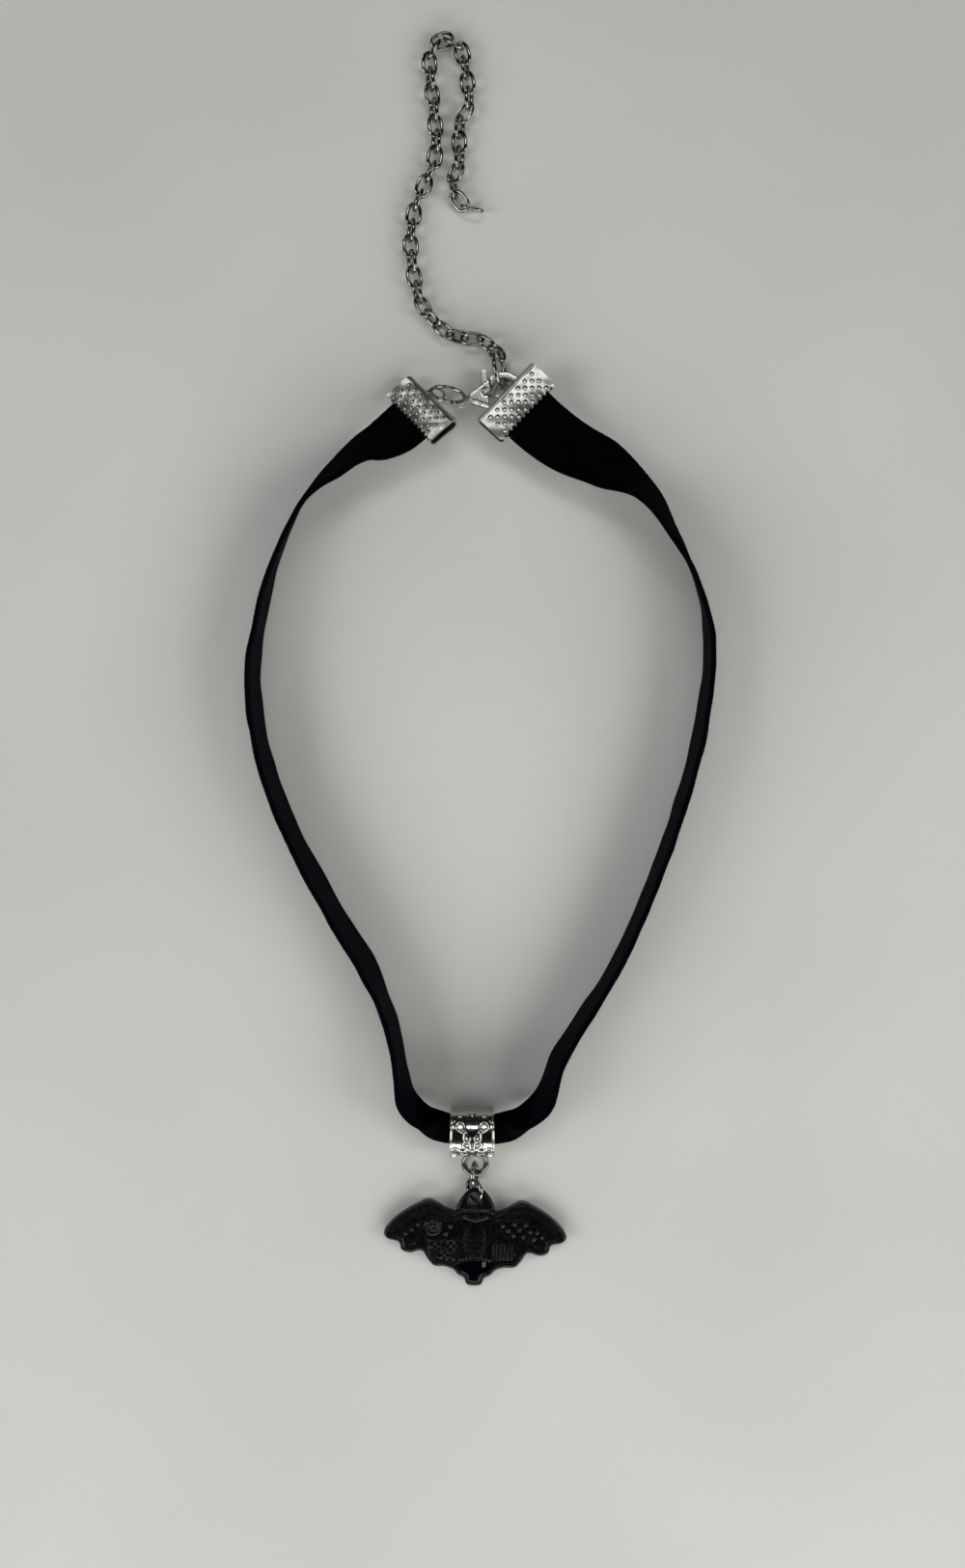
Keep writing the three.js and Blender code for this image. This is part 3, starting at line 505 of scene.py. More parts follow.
def rounded(depth):
    """An offset that closes to nothing round the ribbon's two edges."""
    def offset(places):
        inside = np.clip((0.5 - np.abs(places)) * RIBBON_WIDTH / SELVEDGE_ROUND, 0, 1)
        return depth * np.sqrt(1 - (1 - inside) ** 2) + 0.02 * np.sign(depth)
    return offset


PILE_GROUND = 0.3
BACK_DEPTH = 0.46
WAVE_COUNTS = (18, 60)
WAVE_HEIGHT = 0.16
WAVE_SEED = 3
pile_grid = ribbon_grid(rounded(PILE_GROUND))
back_grid = ribbon_grid(rounded(-BACK_DEPTH))
whole = np.concatenate([pile_grid.reshape(-1, 3), back_grid.reshape(-1, 3)])
# The loop is set where the frame's ribbon lies
cad_low, cad_high = (np.array(v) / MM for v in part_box("ribbon"))
shift = (cad_low + cad_high) / 2 - (whole.max(0) + whole.min(0)) / 2
shift[2] = cad_low[2]


def soft_waves(grid, normals):
    """Slow unevenness of soft cloth, still at the crimps and where the bail holds it."""
    local = np.random.default_rng(WAVE_SEED)
    shares = np.linspace(0, 1, grid.shape[0])
    wave = np.zeros(grid.shape[:2])
    for _ in range(10):
        count = local.uniform(*WAVE_COUNTS)
        phase, tilt, height = local.uniform(0, 2 * math.pi), local.uniform(-2, 2), local.normal()
        wave += height * np.sin(2 * math.pi * shares[:, None] * count + phase + tilt * PLACES[None, :] * 3)
    folds = np.array([spots[0][4], *[s[4] for s in spots], spots[-1][4]])
    calm = np.clip(shares / 0.05, 0, 1) * np.clip((1 - shares) / 0.05, 0, 1) * np.clip(1 - 2 * folds, 0, 1)
    frill = 0.35 + 0.65 * np.abs(PLACES[None, :] * 2) ** 2
    return grid + normals * (WAVE_HEIGHT * wave / 3 * calm[:, None] * frill)[..., None]


def grid_normals(grid):
    """The direction straight out of a grid at each of its points."""
    across = np.gradient(grid, axis=1)
    along = np.gradient(grid, axis=0)
    normals = np.cross(across, along)
    return normals / np.maximum(np.linalg.norm(normals, axis=2), 1e-9)[..., None]


cloth_out = grid_normals(ribbon_grid(lambda places: 0 * places))
pile_grid = soft_waves(pile_grid, cloth_out) + shift
back_grid = soft_waves(back_grid, cloth_out) + shift


def make_ribbon():
    """The cloth itself, with its pile side and its woven back."""
    points, faces = shell(pile_grid, back_grid)
    ribbon = piece_of("ribbon_cloth", points, faces, [velvet_pile, ribbon_back], ["ribbon"])
    mesh = ribbon.data
    rows, columns = pile_grid.shape[:2]
    half = rows * columns
    between = np.linspace(0, ribbon_length, SPOTS + 1)
    runs = np.concatenate([[-RIBBON_TUCK], between, [ribbon_length + RIBBON_TUCK]])
    uv = mesh.uv_layers.new(name="ribbon")
    for polygon in mesh.polygons:
        behind = all(v >= half for v in polygon.vertices)
        polygon.material_index = 1 if behind else 0
        for loop in polygon.loop_indices:
            row, column = divmod(mesh.loops[loop].vertex_index % half, columns)
            uv.data[loop].uv = (runs[row] * MM, PLACES[column] * RIBBON_WIDTH * MM)
    return ribbon


TUFTS = 43000
TUFT_LENGTH = 0.42
TUFT_FOOT = 0.075
TUFT_ROOT = 0.06
EDGE_SHARE = 0.42


def make_pile():
    """The standing pile: small pointed tufts over the outer face, closest along the two edges.

    The real pile has thousands of fibres to a square millimetre, so each tuft stands for a bundle of them.
    """
    rows, columns = pile_grid.shape[:2]
    at_edge = draw.random(TUFTS) < EDGE_SHARE
    row = draw.uniform(2, rows - 4, TUFTS)
    even = draw.uniform(0, columns - 1.001, TUFTS)
    edge = np.abs(draw.normal(0, 1.6, TUFTS))
    edge = np.where(draw.random(TUFTS) < 0.5, edge, columns - 1.001 - edge)
    column = np.clip(np.where(at_edge, edge, even), 0, columns - 1.001)
    i, j = row.astype(int), column.astype(int)
    u, v = (row - i)[:, None], (column - j)[:, None]

    def sample(grid):
        low = grid[i, j] * (1 - v) + grid[i, j + 1] * v
        high = grid[i + 1, j] * (1 - v) + grid[i + 1, j + 1] * v
        return low * (1 - u) + high * u

    out = grid_normals(pile_grid)
    middle = (pile_grid + back_grid) / 2
    foot = sample(pile_grid)
    way = sample(out)
    away = foot - sample(middle)
    away -= (away * way).sum(1)[:, None] * way
    rim = np.clip(1 - np.minimum(column, columns - 1 - column) / 2.5, 0, 1)[:, None]
    lateral = sample(np.gradient(pile_grid, axis=1))
    lateral /= np.maximum(np.linalg.norm(lateral, axis=1), 1e-9)[:, None]
    sign = np.where(column < columns / 2, -1.0, 1.0)[:, None]
    way = way + rim * sign * lateral * draw.uniform(0.2, 1.1, (TUFTS, 1)) + draw.normal(0, 0.22, (TUFTS, 3))
    way /= np.linalg.norm(way, axis=1)[:, None]
    side = np.cross(way, draw.normal(0, 1, (TUFTS, 3)))
    side /= np.linalg.norm(side, axis=1)[:, None]
    other = np.cross(way, side)
    length = TUFT_LENGTH * draw.uniform(0.55, 1.15, (TUFTS, 1)) * (1 - 0.35 * rim)
    base = foot - TUFT_ROOT * way
    corners = [
        base + TUFT_FOOT * (side * math.cos(a) + other * math.sin(a))
        for a in (0, 2 * math.pi / 3, 4 * math.pi / 3)
    ]
    points = np.stack([*corners, foot + length * way], 1).reshape(-1, 3)
    start = np.arange(TUFTS) * 4
    faces = np.stack([
        np.stack([start, start + 2, start + 1], 1), np.stack([start, start + 1, start + 3], 1),
        np.stack([start + 1, start + 2, start + 3], 1), np.stack([start + 2, start, start + 3], 1),
    ], 1).reshape(-1, 3)
    mesh = bpy.data.meshes.new("ribbon_pile")
    mesh.from_pydata((points * MM).tolist(), [], faces.tolist())
    mesh.materials.append(velvet_pile)
    pile = bpy.data.objects.new("ribbon_pile", mesh)
    bpy.context.scene.collection.objects.link(pile)
    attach(pile, "necklace")
    return pile


ribbon = make_ribbon()
pile = make_pile()


# The crimps

CRIMP_LENGTH = 13.0
CRIMP_DEPTH = 5.1
CRIMP_PLATE = 0.4
CRIMP_FOLD = 1.06
CRIMP_PINCH = 0.08
TOOTH_PITCH = 1.0
TOOTH_LENGTH = 0.5
DIMPLE_PITCH = 1.65
DIMPLE_RADIUS = 0.3
DIMPLE_HEIGHT = 0.26
CRIMP_PILLOW = 0.2
LOOP_START = 1.35
LOOP_HOLE = 1.35
LOOP_WIRE = 0.42
LOOP_REACH = 0.6


def crimp_surface(depth_in, seed):
    """One skin of the folded plate, depth_in below its outer one, as rows from the upper mouth to the lower."""
    local = np.random.default_rng(seed)
    x = np.linspace(-CRIMP_LENGTH / 2, CRIMP_LENGTH / 2, 165)
    wave = x / TOOTH_PITCH + CRIMP_LENGTH / 2
    mouth_y = -TOOTH_LENGTH * (1 - np.abs(2 * (wave - np.floor(wave)) - 1))
    start = CRIMP_DEPTH - CRIMP_FOLD
    mouth = RIBBON_THICKNESS / 2 + CRIMP_PINCH + CRIMP_PLATE
    phases = local.uniform(0, 2 * math.pi, 12)
    rows = []
    pitch = DIMPLE_PITCH / 2
    for side in (1, -1):
        flat = []
        for k in np.linspace(0, 1, 56):
            y = mouth_y + (start - mouth_y) * k
            z = mouth + (CRIMP_FOLD - mouth) * np.clip(y / start, 0, 1)
            buckle = 0.035 * np.sin(x * 2.1 + phases[0] + side) * np.sin(y * 1.7 + phases[1])
            buckle = buckle + 0.03 * np.sin(x * 0.9 + phases[2]) * np.cos(y * 0.8 + phases[3] + side)
            pillow = CRIMP_PILLOW * (1 - (2 * x / CRIMP_LENGTH) ** 2) * math.sin(math.pi * k)
            bumps = np.zeros_like(x) + pillow
            dirt_and_painted_shade = np.zeros_like(x)
            if depth_in == 0:
                for row in range(int(start / pitch) + 1):
                    count = int(CRIMP_LENGTH / DIMPLE_PITCH) - row % 2
                    for i in range(count):
                        cx, cy = (i - (count - 1) / 2) * DIMPLE_PITCH, (row + 0.35) * pitch
                        away = np.hypot(x - cx, y - cy) / DIMPLE_RADIUS
                        bumps = np.maximum(bumps, pillow + DIMPLE_HEIGHT * np.clip(1 - away ** 2, 0, 1))
                        # A dark ring round the foot of each dimple, part grime and part painted shade
                        dirt_and_painted_shade = np.maximum(dirt_and_painted_shade, np.clip(1 - np.abs(away - 1.15) / 0.35, 0, 1))
            flat.append(np.stack([x, y, side * (z - depth_in + bumps + buckle), dirt_and_painted_shade], 1))
        rows.append(flat)
    arc = []
    for a in np.linspace(math.pi / 2, -math.pi / 2, 16)[1:-1]:
        radius = CRIMP_FOLD - depth_in
        none = 0 * x
        arc.append(np.stack([x, none + start + radius * math.cos(a), none + radius * math.sin(a), none], 1))
    return np.array([*rows[0], *arc, *reversed(rows[1])])


def make_crimp(name, node, share, outward, droop, loop_shift, seed):
    """A crimp at a share of the ribbon's length. Its loop droops by degrees and stands aside by loop_shift."""
    middle, along, _, pile_way, _ = ribbon_spot(share)
    to_fold = along * outward
    across = np.cross(to_fold, pile_way)
    outer, inner = crimp_surface(0, seed), crimp_surface(CRIMP_PLATE, seed)
    points, faces = shell(outer[..., :3], inner[..., :3])
    radius = LOOP_HOLE + LOOP_WIRE / 2
    ring, ring_faces = oval_wire(2 * radius + LOOP_WIRE, 2 * radius + LOOP_WIRE, LOOP_WIRE, 40, 10)
    lean = math.radians(droop)
    y = ring[:, 1] + LOOP_START + LOOP_REACH
    ring = np.stack([
        ring[:, 0] + loop_shift,
        y * math.cos(lean) + ring[:, 2] * math.sin(lean) + CRIMP_DEPTH - LOOP_START,
        ring[:, 2] * math.cos(lean) - y * math.sin(lean),
    ], 1)
    faces = faces + [tuple(len(points) + v for v in face) for face in ring_faces]
    local = np.concatenate([points, ring])
    world = middle + shift + local @ np.array([across, to_fold, pile_way])
    # The outer skin's dimple rings carry grime and painted shade; the inner skin and the loop have none
    grime_and_painted_shade = np.concatenate([outer[..., 3].reshape(-1), np.zeros(len(world) - outer[..., 3].size)])
    piece_of(name, world, faces, [pressed_plate], [node], sharp=50, marks={"grime_and_painted_shade": grime_and_painted_shade})


make_crimp("crimp_left_plate", "crimp_left", 0.0, -1, 14, -1.0, 5)
make_crimp("crimp_right_plate", "crimp_right", 1.0, 1, 26, 0.0, 6)


# The clasp keeps the frame's solids, rounded over as a casting is

def soften(node, voxel, passes, material):
    """Rounds a solid's edges as casting and tumbling do, without moving it."""
    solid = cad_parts[node]
    solid.data.materials.clear()
    solid.data.materials.append(material)
    grain = solid.modifiers.new("cast_grain", "REMESH")
    grain.mode = "VOXEL"
    grain.voxel_size = voxel * MM
    grain.use_smooth_shade = True
    tumble = solid.modifiers.new("tumble", "SMOOTH")
    tumble.factor = 0.5
    tumble.iterations = passes


soften("clasp_body", 0.09, 34, plated_clasp)
soften("clasp_lever", 0.07, 10, plated_clasp)
soften("clasp_rivet", 0.06, 3, plated_clasp)


# The rings and the chain

LINK_LENGTH = 4.2
LINK_WIDTH = 2.9
LINK_WIRE = 0.62
LINK_SQUARENESS = 0.85
SEAM_GAP = 0.02
RINGS = {
    # node: diameter and wire
    "jump_ring_clasp": (6.3, 0.62), "jump_ring_chain": (6.9, 0.7),
    "jump_ring_bail": (4.6, 0.7), "jump_ring_bat": (4.2, 0.65),
}


def place_loop(name, node, loop):
    """A ring or link of wire, lying as its solid does."""
    points, faces = loop
    middle, axes = lie_of(node)
    piece_of(name, middle + points @ axes, faces, [plated_wire], [node], sharp=40)


for node, (diameter, wire) in RINGS.items():
    place_loop(node + "_wire", node, oval_wire(diameter, diameter, wire, 64, 14, seam_gap=SEAM_GAP))
for node in sorted(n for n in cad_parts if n.startswith("chain_link_")):
    loop = oval_wire(LINK_LENGTH, LINK_WIDTH, LINK_WIRE, 40, 12, LINK_SQUARENESS, SEAM_GAP)
    place_loop(node + "_wire", node, loop)


# The bail

BAIL_RADIUS = 4.15
BAIL_WALL = 0.5
BAIL_LENGTH = 7.3
BAIL_RING_DIAMETER = 4.6
BAIL_RING_WIRE = 0.95
BAIL_RING_DROP = math.radians(12)
BAIL_RING_OFFSET = 0.45
RELIEF_HEIGHT = 0.22


def teardrop(u, w, centre, turn, round_end, tip, length):
    """The distance of places from the outline of a teardrop whose round end is at its centre."""
    x, y = u - centre[0], w - centre[1]
    across = np.abs(x * math.cos(turn) + y * math.sin(turn))
    along = -x * math.sin(turn) + y * math.cos(turn)
    lean = (round_end - tip) / length
    flank = math.sqrt(1 - lean * lean)
    k = -across * lean + along * flank
    by_flank = across * flank + along * lean - round_end
    by_round = np.hypot(across, along) - round_end
    by_tip = np.hypot(across, along - length) - tip
    return np.where(k < 0, by_round, np.where(k > flank * length, by_tip, by_flank))


def line(distance, width):
    """A raised line with a round top, as a share of its height."""
    return np.clip(1 - (distance / width) ** 2, 0, 1) ** 0.6


def swell(distance, width):
    """A low swelling with soft flanks, as a share of its height."""
    return np.exp(-(distance / (0.6 * width)) ** 2)


def bail_relief(u, w):
    """The cast flower on the bail and its patina: u runs along the tube and w round it, towards the pendant."""
    w = (w + 6.5) % 13.0 - 6.5
    raised, dark = np.zeros_like(u), np.zeros_like(u)
    for side in (1, -1):
        petals = [
            ((1.95 * side, -1.75), side * 0.55, 0.72, 0.16, 1.15, True),
            ((0.86 * side, 0.25), math.pi + side * 0.25, 0.55, 0.2, 1.0, False),
            ((0.95 * side, 1.45), side * 0.55, 0.6, 0.12, 1.05, False),
            ((1.55 * side, 3.2), side * 0.9, 0.45, 0.12, 0.8, False),
        ]
        for centre, turn, round_end, tip, length, filled in petals:
            away = teardrop(u, w, centre, turn, round_end, tip, length)
            raised = np.maximum(raised, line(np.abs(away), 0.15))
            dark = np.maximum(dark, line(np.abs(np.abs(away) - 0.22), 0.12))
            if filled:
                raised = np.maximum(raised, 0.95 * np.clip(-(away + 0.2) / 0.15, 0, 1) ** 0.5)
            else:
                raised = np.maximum(raised, 0.5 * np.clip(-(away + 0.3) / 0.3, 0, 1))
        raised = np.maximum(raised, line(np.hypot(u - 2.0 * side, w + 3.75), 0.42))
        raised = np.maximum(raised, line(np.abs(np.hypot(u - 3.0 * side, w - 4.6) - 0.5), 0.14))
    wave = 2.55 + 0.35 * np.cos(np.abs(u) * 2.6 + 2.2) + 0.6 * np.exp(-(u / 0.5) ** 2)
    raised = np.maximum(raised, line(np.abs(w - wave), 0.16))
    crest = -2.35 - 0.3 * np.cos(np.abs(u) * 2.3)
    raised = np.maximum(raised, line(np.abs(w - crest), 0.12) * (np.abs(u) > 2.75))
    raised = np.maximum(raised, line(np.hypot(u, w + 4.15), 0.5))
    raised = np.maximum(raised, line(np.hypot(u, w - 2.05), 0.2))
    dark = np.maximum(dark, line(np.abs(np.abs(w - wave) - 0.24), 0.12))
    raised = np.maximum(raised, line(np.abs(u) - BAIL_LENGTH / 2 + 0.12, 0.2))
    return raised, np.clip(0.6 + 0.4 * raised - 0.6 * dark * (1 - raised), 0, 1)


def make_bail():
    """The tube with its cast flowers, and the ring under it that hangs the bat."""
    low, high = (np.array(v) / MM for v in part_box("bail"))
    centre = np.array([(low[0] + high[0]) / 2, high[1] - BAIL_RADIUS, (low[2] + high[2]) / 2])
    u = np.linspace(-BAIL_LENGTH / 2, BAIL_LENGTH / 2, 122)
    turns = np.arange(400) / 400 * 2 * math.pi
    along, round_ = np.meshgrid(u, turns, indexing="ij")
    w = np.where(round_ > math.pi, round_ - 2 * math.pi, round_) * BAIL_RADIUS
    raised, tone = bail_relief(along, w)
    end_round = np.clip((BAIL_LENGTH / 2 - np.abs(along)) / 0.12, 0, 1)
    radius = BAIL_RADIUS - RELIEF_HEIGHT * (1 - raised) - 0.1 * (1 - np.sqrt(1 - (1 - end_round) ** 2))
    outer = np.stack([along, -radius * np.sin(round_), radius * np.cos(round_)], 2)
    bore = BAIL_RADIUS - BAIL_WALL
    inner = np.stack([along, -bore * np.sin(round_), bore * np.cos(round_)], 2)
    points, faces = shell(outer, inner, around=True)
    ring, ring_faces = oval_wire(BAIL_RING_DIAMETER, BAIL_RING_DIAMETER, BAIL_RING_WIRE, 56, 16)
    ring_radius = (BAIL_RING_DIAMETER - BAIL_RING_WIRE) / 2
    reach = BAIL_RADIUS + ring_radius - BAIL_RING_WIRE * 0.1
    drop = Matrix.Rotation(BAIL_RING_DROP, 3, "X")
    ring = (ring + np.array([BAIL_RING_OFFSET, -reach, 0])) @ np.array(drop).T
    faces = faces + [tuple(len(points) + v for v in face) for face in ring_faces]
    marks = np.concatenate([tone.reshape(-1), np.full(tone.size, 0.3), np.full(len(ring), 0.25)])
    points = np.concatenate([points, ring]) + centre
    piece_of("bail_casting", points, faces, [antique_plate], ["bail"], marks={"relief": marks})


make_bail()


# The bat

BAT_SPAN = 30.6
BAT_HEIGHT = 16.3
BAT_THICKNESS = 2.5
BAT_TURN = math.radians(-1.5)
BAT_HOLE = (-0.2, 6.275)
BAT_HOLE_RADIUS = 0.95
BAT_HEAD_TOP = 1.9
BAT_HEAD_FLOOR = 1.1
BAT_HEAD_START = 4.73
BAT_CELL = 0.11
BAT_FIELD_DEPTH = 0.42
SWIRL_AT = (-7.1, 1.8)
SWIRL_PITCH = 0.75
RIB_PITCH = 0.9
FINE_PITCH = 0.62
BAT_OUTLINE = [
    # across and up, as shares of the span and height, for the right half from head to tail
    (0.030, 0.497), (0.072, 0.425), (0.100, 0.330), (0.106, 0.255), (0.165, 0.285), (0.215, 0.340),
    (0.258, 0.366), (0.315, 0.325), (0.405, 0.225), (0.470, 0.115), (0.500, 0.020), (0.478, -0.030),
    (0.418, -0.062), (0.400, -0.140), (0.356, -0.168), (0.290, -0.145), (0.255, -0.230), (0.222, -0.292),
    (0.160, -0.300), (0.115, -0.330), (0.088, -0.380), (0.056, -0.412), (0.038, -0.478),
]


def smooth_step(low, high, value):
    """From 0 at low to 1 at high, softly."""
    t = np.clip((value - low) / (high - low), 0, 1)
    return t * t * (3 - 2 * t)


def bat_outline():
    """The whole outline, from the named half and its mirror image."""
    half = [(a * BAT_SPAN, b * BAT_HEIGHT) for a, b in BAT_OUTLINE]
    loop = half + [(-x, y) for x, y in reversed(half)]
    wrapped = Curve([(x, y, 0) for x, y in [*loop[-2:], *loop, *loop[:3]]])
    spans = len(wrapped.points) - 1
    places = np.linspace(2 / spans, (2 + len(loop)) / spans, 6 * len(loop) + 1)[:-1]
    return np.array([wrapped.at(t)[:2] for t in places])


def inside_distance(points, loop):
    """How far inside a closed outline each point lies, below zero outside, and the outline's nearest place."""
    best = np.full(len(points), 1e9)
    nearest = np.zeros_like(points)
    inside = np.zeros(len(points), bool)
    for a, b in zip(loop, np.roll(loop, -1, axis=0)):
        edge = b - a
        t = np.clip(((points - a) @ edge) / max(edge @ edge, 1e-12), 0, 1)
        spot = a + t[:, None] * edge
        away = np.hypot(*(points - spot).T)
        closer = away < best
        best[closer] = away[closer]
        nearest[closer] = spot[closer]
        crosses = (a[1] > points[:, 1]) != (b[1] > points[:, 1])
        rise = edge[1] if abs(edge[1]) > 1e-12 else 1e-12
        inside ^= crosses & (points[:, 0] < a[0] + (points[:, 1] - a[1]) / rise * edge[0])
    return np.where(inside, best, -best), nearest


def to_segment(x, y, start, end):
    """The distance of places from a straight line between two points."""
    sx, sy = end[0] - start[0], end[1] - start[1]
    t = np.clip(((x - start[0]) * sx + (y - start[1]) * sy) / (sx * sx + sy * sy), 0, 1)
    return np.hypot(x - start[0] - t * sx, y - start[1] - t * sy)


def bat_work(x, y):
    """The height of the bones, body, collar and swirl over the bat's field."""
    side = np.abs(x)
    work = np.zeros_like(x)
    bones = [
        ((2.0, 2.7), (7.6, 3.7), 0.9, 0.16), ((7.6, 3.7), (13.0, 0.4), 0.8, 0.14),
        ((7.5, 3.6), (10.4, -1.4), 0.55, 0.14), ((4.2, 2.4), (6.0, -3.2), 0.5, 0.12),
    ]
    for start, end, width, height in bones:
        work = np.maximum(work, height * swell(to_segment(side, y, start, end), width))
    chest = np.clip(1 - (x / 2.5) ** 2 - ((y + 0.6) / 4.6) ** 2, 0, 1)
    work = np.maximum(work, 0.36 * chest ** 1.2)
    ribs = np.cos((y + 0.12 * side ** 2) * 2 * math.pi / RIB_PITCH)
    work += 0.014 * (1 + ribs) * smooth_step(1.7, 1.3, side) * smooth_step(-3.3, -2.9, y) * (y < 1.2)
    collar = np.abs(y - 3.3 - 0.3 * (side - 1.0))
    work = np.maximum(work, 0.4 * line(collar, 0.3) * (side < 2.1))
    reach = np.hypot(x - SWIRL_AT[0], y - SWIRL_AT[1])
    turn = np.arctan2(y - SWIRL_AT[1], x - SWIRL_AT[0])
    spiral = np.cos(turn - reach * 2 * math.pi / SWIRL_PITCH)
    work = np.maximum(work, 0.2 * line(np.abs(reach - 1.3), 0.2))
    return np.where(reach < 1.15, np.maximum(work, 0.1 + 0.2 * np.clip(spiral, 0, 1)), work)


def bat_field(x, y):
    """The height of all the work on the field, with its beads, combed lines and wisps."""
    work = bat_work(x, y)
    beads = [
        (4.6, 2.2, 0.3), (5.5, 1.4, 0.34), (6.6, 2.5, 0.32), (7.4, 1.6, 0.3), (6.4, 0.6, 0.3), (8.4, 2.4, 0.3),
        (9.2, 1.3, 0.28), (8.1, 0.4, 0.26), (10.4, 1.2, 0.3), (9.9, 0.1, 0.34), (11.2, 0.4, 0.26),
        (-4.2, 1.9, 0.3), (-4.9, 0.6, 0.3), (-9.6, 2.1, 0.28), (-10.6, 1.2, 0.26), (-11.6, 0.5, 0.24),
    ]
    for bx, by, radius in beads:
        work = np.maximum(work, 0.3 * np.clip(1 - ((x - bx) ** 2 + (y - by) ** 2) / radius ** 2, 0, 1) ** 0.5)
    combed = np.cos(x * 2 * math.pi / FINE_PITCH + 0.5 * np.sin(y * 1.3))
    patch = smooth_step(2.5, 2.9, x) * smooth_step(7.2, 6.6, x)
    patch *= smooth_step(-0.4, -0.9, y) * smooth_step(-3.9, -3.4, y)
    work = np.maximum(work, 0.2 * np.clip(combed, 0, 1) * patch)
    wisps = np.sin(x * 3.1 + 1.7 * np.sin(y * 2.3)) * np.sin(y * 3.4 + 1.9 * np.sin(x * 1.9))
    patch = smooth_step(-2.6, -3.0, x) * smooth_step(-8.6, -8.0, x) * smooth_step(0.3, -0.2, y)
    work = np.maximum(work, 0.2 * line(np.abs(wisps), 0.3) * patch)
    wisps = np.sin(x * 2.3 - 1.2 * np.sin(y * 2.9)) * np.sin(y * 2.7 + 1.1 * x)
    patch = smooth_step(8.6, 9.2, np.abs(x)) * smooth_step(13.2, 12.6, np.abs(x)) * smooth_step(1.4, 0.9, y)
    return np.maximum(work, 0.12 * line(np.abs(wisps), 0.22) * patch)


def bat_top(x, y, inside):
    """The height of the bat's upper face, how far it is polished, and how far it is raised."""
    upper = smooth_step(-1.0, 0.8, y)
    rim = 1 - smooth_step(0.55 - 0.1 * upper, 0.9 + 1.4 * upper, inside)
    field = bat_field(x, y) + 0.05 * line(np.abs(inside - 1.5), 0.2)
    tail_top = -3.55 + 0.25 * np.cos(x * 1.2)
    tail = smooth_step(0.0, 0.25, tail_top - y) * smooth_step(3.3, 2.9, np.abs(x) + 0.45 * (-3.6 - y))
    dots = np.clip(np.cos(x * 2 * math.pi / FINE_PITCH), 0, 1) * line(np.abs(y - tail_top - 0.12), 0.22)
    dots = 0.25 * dots * (np.abs(x) < 2.7)
    facet = 0.6 - 0.06 * np.abs(x + 0.3) - 0.1 * np.abs(y + 4.7) - 0.52 * np.clip(x - 1.3, 0, 0.6)
    field = np.maximum(np.where(tail > 0, tail * np.maximum(facet, 0.1), field), dots + 0.1)
    rim_height = BAT_FIELD_DEPTH - 0.26 * upper
    top = BAT_THICKNESS - BAT_FIELD_DEPTH + np.maximum(field * (1 - rim), rim_height * rim)
    round_over = 0.62
    edge = np.clip(inside / round_over, 0, 1)
    top = top - 0.55 * (1 - np.sqrt(np.clip(1 - (1 - edge) ** 2, 0, 1)))
    head = smooth_step(BAT_HEAD_START - 0.5, BAT_HEAD_START + 0.15, y) * smooth_step(3.6, 3.0, np.abs(x))
    head_top = BAT_HEAD_TOP - 0.4 * (1 - np.sqrt(np.clip(1 - (1 - np.clip(inside / 0.5, 0, 1)) ** 2, 0, 1)))
    # How far the face is raised, with the rim counted as mostly raised; the resin lightens it as a painted
    # highlight
    relief = np.clip(field, 0, 1) * (1 - rim) + 0.8 * rim
    return top * (1 - head) + head_top * head, tail * (1 - rim), relief


def bat_under(x, y, inside):
    """The height of the bat's back, flat except under the head, where its ring passes."""
    round_over = 0.3
    edge = np.clip(inside / round_over, 0, 1)
    under = round_over * (1 - np.sqrt(np.clip(1 - (1 - edge) ** 2, 0, 1)))
    head = smooth_step(BAT_HEAD_START - 0.25, BAT_HEAD_START + 0.25, y) * smooth_step(3.6, 3.0, np.abs(x))
    return under + BAT_HEAD_FLOOR * head


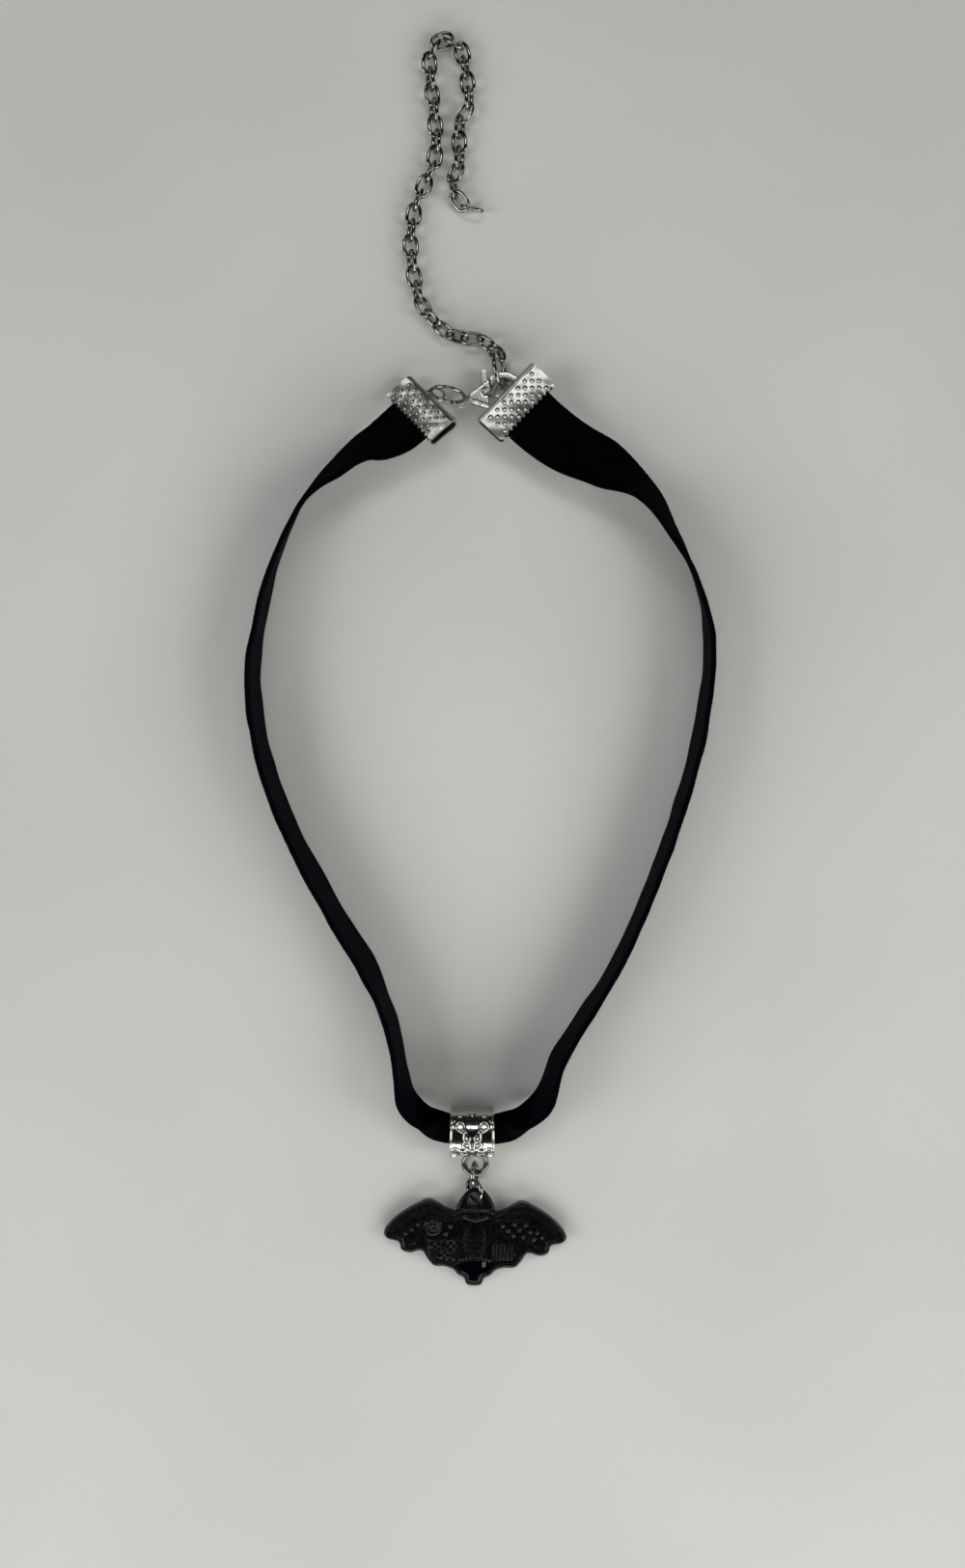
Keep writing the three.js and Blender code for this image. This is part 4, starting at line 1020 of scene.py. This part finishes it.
def make_bat():
    """A fine grid cut to the outline and round the hole, with its rim points drawn onto the line."""
    loop = bat_outline()
    xs = np.arange(-BAT_SPAN / 2 - 1, BAT_SPAN / 2 + 1, BAT_CELL)
    ys = np.arange(-BAT_HEIGHT / 2 - 1, BAT_HEIGHT / 2 + 1, BAT_CELL)
    grid = np.stack(np.meshgrid(xs, ys, indexing="ij"), 2)
    rows, columns = grid.shape[:2]
    points = grid.reshape(-1, 2)
    hole_at = np.array(BAT_HOLE)

    def measure(places):
        depth, nearest = inside_distance(places, loop)
        from_hole = np.hypot(*(places - hole_at).T) - BAT_HOLE_RADIUS
        nearer_hole = from_hole < depth
        spoke = (places - hole_at) / np.maximum(np.hypot(*(places - hole_at).T), 1e-9)[:, None]
        nearest = np.where(nearer_hole[:, None], hole_at + spoke * BAT_HOLE_RADIUS, nearest)
        return np.minimum(depth, from_hole), nearest

    centres = (grid[:-1, :-1] + grid[1:, 1:]) / 2
    kept = (measure(centres.reshape(-1, 2))[0] > 0.02).reshape(rows - 1, columns - 1)
    cells = np.argwhere(kept)
    corner = cells[:, 0] * columns + cells[:, 1]
    quads = np.stack([corner, corner + columns, corner + columns + 1, corner + 1], 1)
    used, flat = np.unique(quads, return_inverse=True)
    quads = flat.reshape(-1, 4)
    places = points[used]
    edges = np.concatenate([quads[:, [k, (k + 1) % 4]] for k in range(4)])
    keys = np.sort(edges, axis=1)
    _, first, counts = np.unique(keys, axis=0, return_index=True, return_counts=True)
    rim_edges = edges[first[counts == 1]]
    rim_points = np.unique(rim_edges)
    places[rim_points] = measure(places[rim_points])[1]
    inside = np.maximum(measure(places)[0], 0)
    inside[rim_points] = 0
    x, y = places[:, 0], places[:, 1]
    top, polish, relief = bat_top(x, y, inside)
    under = bat_under(x, y, inside)
    count = len(places)
    solid = np.concatenate([np.stack([x, y, top], 1), np.stack([x, y, under], 1)])
    faces = [tuple(q) for q in quads.tolist()]
    faces += [tuple(count + v for v in reversed(q)) for q in quads.tolist()]
    faces += [(b, a, count + a, count + b) for a, b in rim_edges.tolist()]
    turn = np.array(Matrix.Rotation(BAT_TURN, 3, "Z"))
    solid = solid @ turn.T
    low, high = (np.array(v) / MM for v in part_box("bat_pendant"))
    settle = (low + high) / 2 - (solid.max(0) + solid.min(0)) / 2
    settle[2] = low[2]
    marks = {"polish": [*polish, *(0 * polish)], "relief": [*relief, *(0 * relief)]}
    piece_of("bat_casting", solid + settle, faces, [black_resin], ["bat_pendant"], marks=marks)


make_bat()


# The table, the lights and the camera

TABLE_REACH = 2.0
PHOTO_CENTRE = (0.259, -21.1)
CAMERA_HEIGHT = 230.0
PHOTO_LENGTH = 264.66
SENSOR = 36.0


def make_table():
    """A plain floor under the necklace."""
    mesh = bpy.data.meshes.new("table_top")
    r = TABLE_REACH
    mesh.from_pydata([(-r, -r, 0), (r, -r, 0), (r, r, 0), (-r, r, 0)], [], [(0, 1, 2, 3)])
    mesh.materials.append(pale_table)
    table = bpy.data.objects.new("table_top", mesh)
    bpy.context.scene.collection.objects.link(table)


def add_light(name, place, target, size, power, colour):
    """A soft rectangular light that faces a target; places are in metres."""
    data = bpy.data.lights.new(name, "AREA")
    data.shape = "RECTANGLE"
    data.size, data.size_y = size
    data.energy = power
    data.color = linear(colour)[:3]
    light = bpy.data.objects.new(name, data)
    light.location = place
    light.rotation_euler = (Vector(target) - Vector(place)).to_track_quat("-Z", "Y").to_euler()
    bpy.context.scene.collection.objects.link(light)


def make_room():
    """The dim room that the metal mirrors, darker overhead."""
    world = bpy.data.worlds.new("room")
    world.use_nodes = True
    tree = world.node_tree
    tree.nodes.clear()
    way = add(tree, "ShaderNodeTexCoord", out="Generated")
    height = add(tree, "ShaderNodeSeparateXYZ", {0: way}, out="Z")
    share = add(tree, "ShaderNodeMapRange", {0: height, 1: 0.35, 2: 0.95}, out="Result")
    shade = add(tree, "ShaderNodeMix", {
        0: share, 6: linear("#3C3C3E"), 7: linear("#0E0E10")}, out=2, data_type="RGBA")
    glow = add(tree, "ShaderNodeBackground", {"Color": shade, "Strength": 0.4}, out="Background")
    add(tree, "ShaderNodeOutputWorld", {"Surface": glow})
    bpy.context.scene.world = world


def make_camera():
    """A camera straight above, as the photo was taken."""
    data = bpy.data.cameras.new("camera")
    data.sensor_fit = "VERTICAL"
    data.sensor_height = SENSOR
    data.lens = SENSOR * CAMERA_HEIGHT / PHOTO_LENGTH
    data.clip_start = 0.01
    camera = bpy.data.objects.new("camera", data)
    camera.location = (PHOTO_CENTRE[0] * MM, PHOTO_CENTRE[1] * MM, CAMERA_HEIGHT * MM)
    bpy.context.scene.collection.objects.link(camera)
    bpy.context.scene.camera = camera


bpy.context.scene.view_settings.view_transform = "Standard"
make_table()
make_room()
add_light("window_left", (-0.62, -0.2, 0.45), (0, -0.12, 0), (0.4, 0.5), 2.9, "#FBFDFA")
add_light("window_right", (0.62, -0.18, 0.45), (0, -0.12, 0), (0.4, 0.5), 2.9, "#FDFDF8")
add_light("lamp_far", (0.02, 0.46, 0.86), (0, 0, 0), (0.6, 0.16), 1.55, "#FFFFFF")
add_light("lamp_corner", (-0.42, 0.72, 0.42), (0, 0, 0), (0.1, 0.09), 0.36, "#FFFFFF")
add_light("window_near", (0.05, -0.62, 0.28), (0, -0.14, 0), (0.9, 0.26), 3.5, "#FFFFFA")
make_camera()
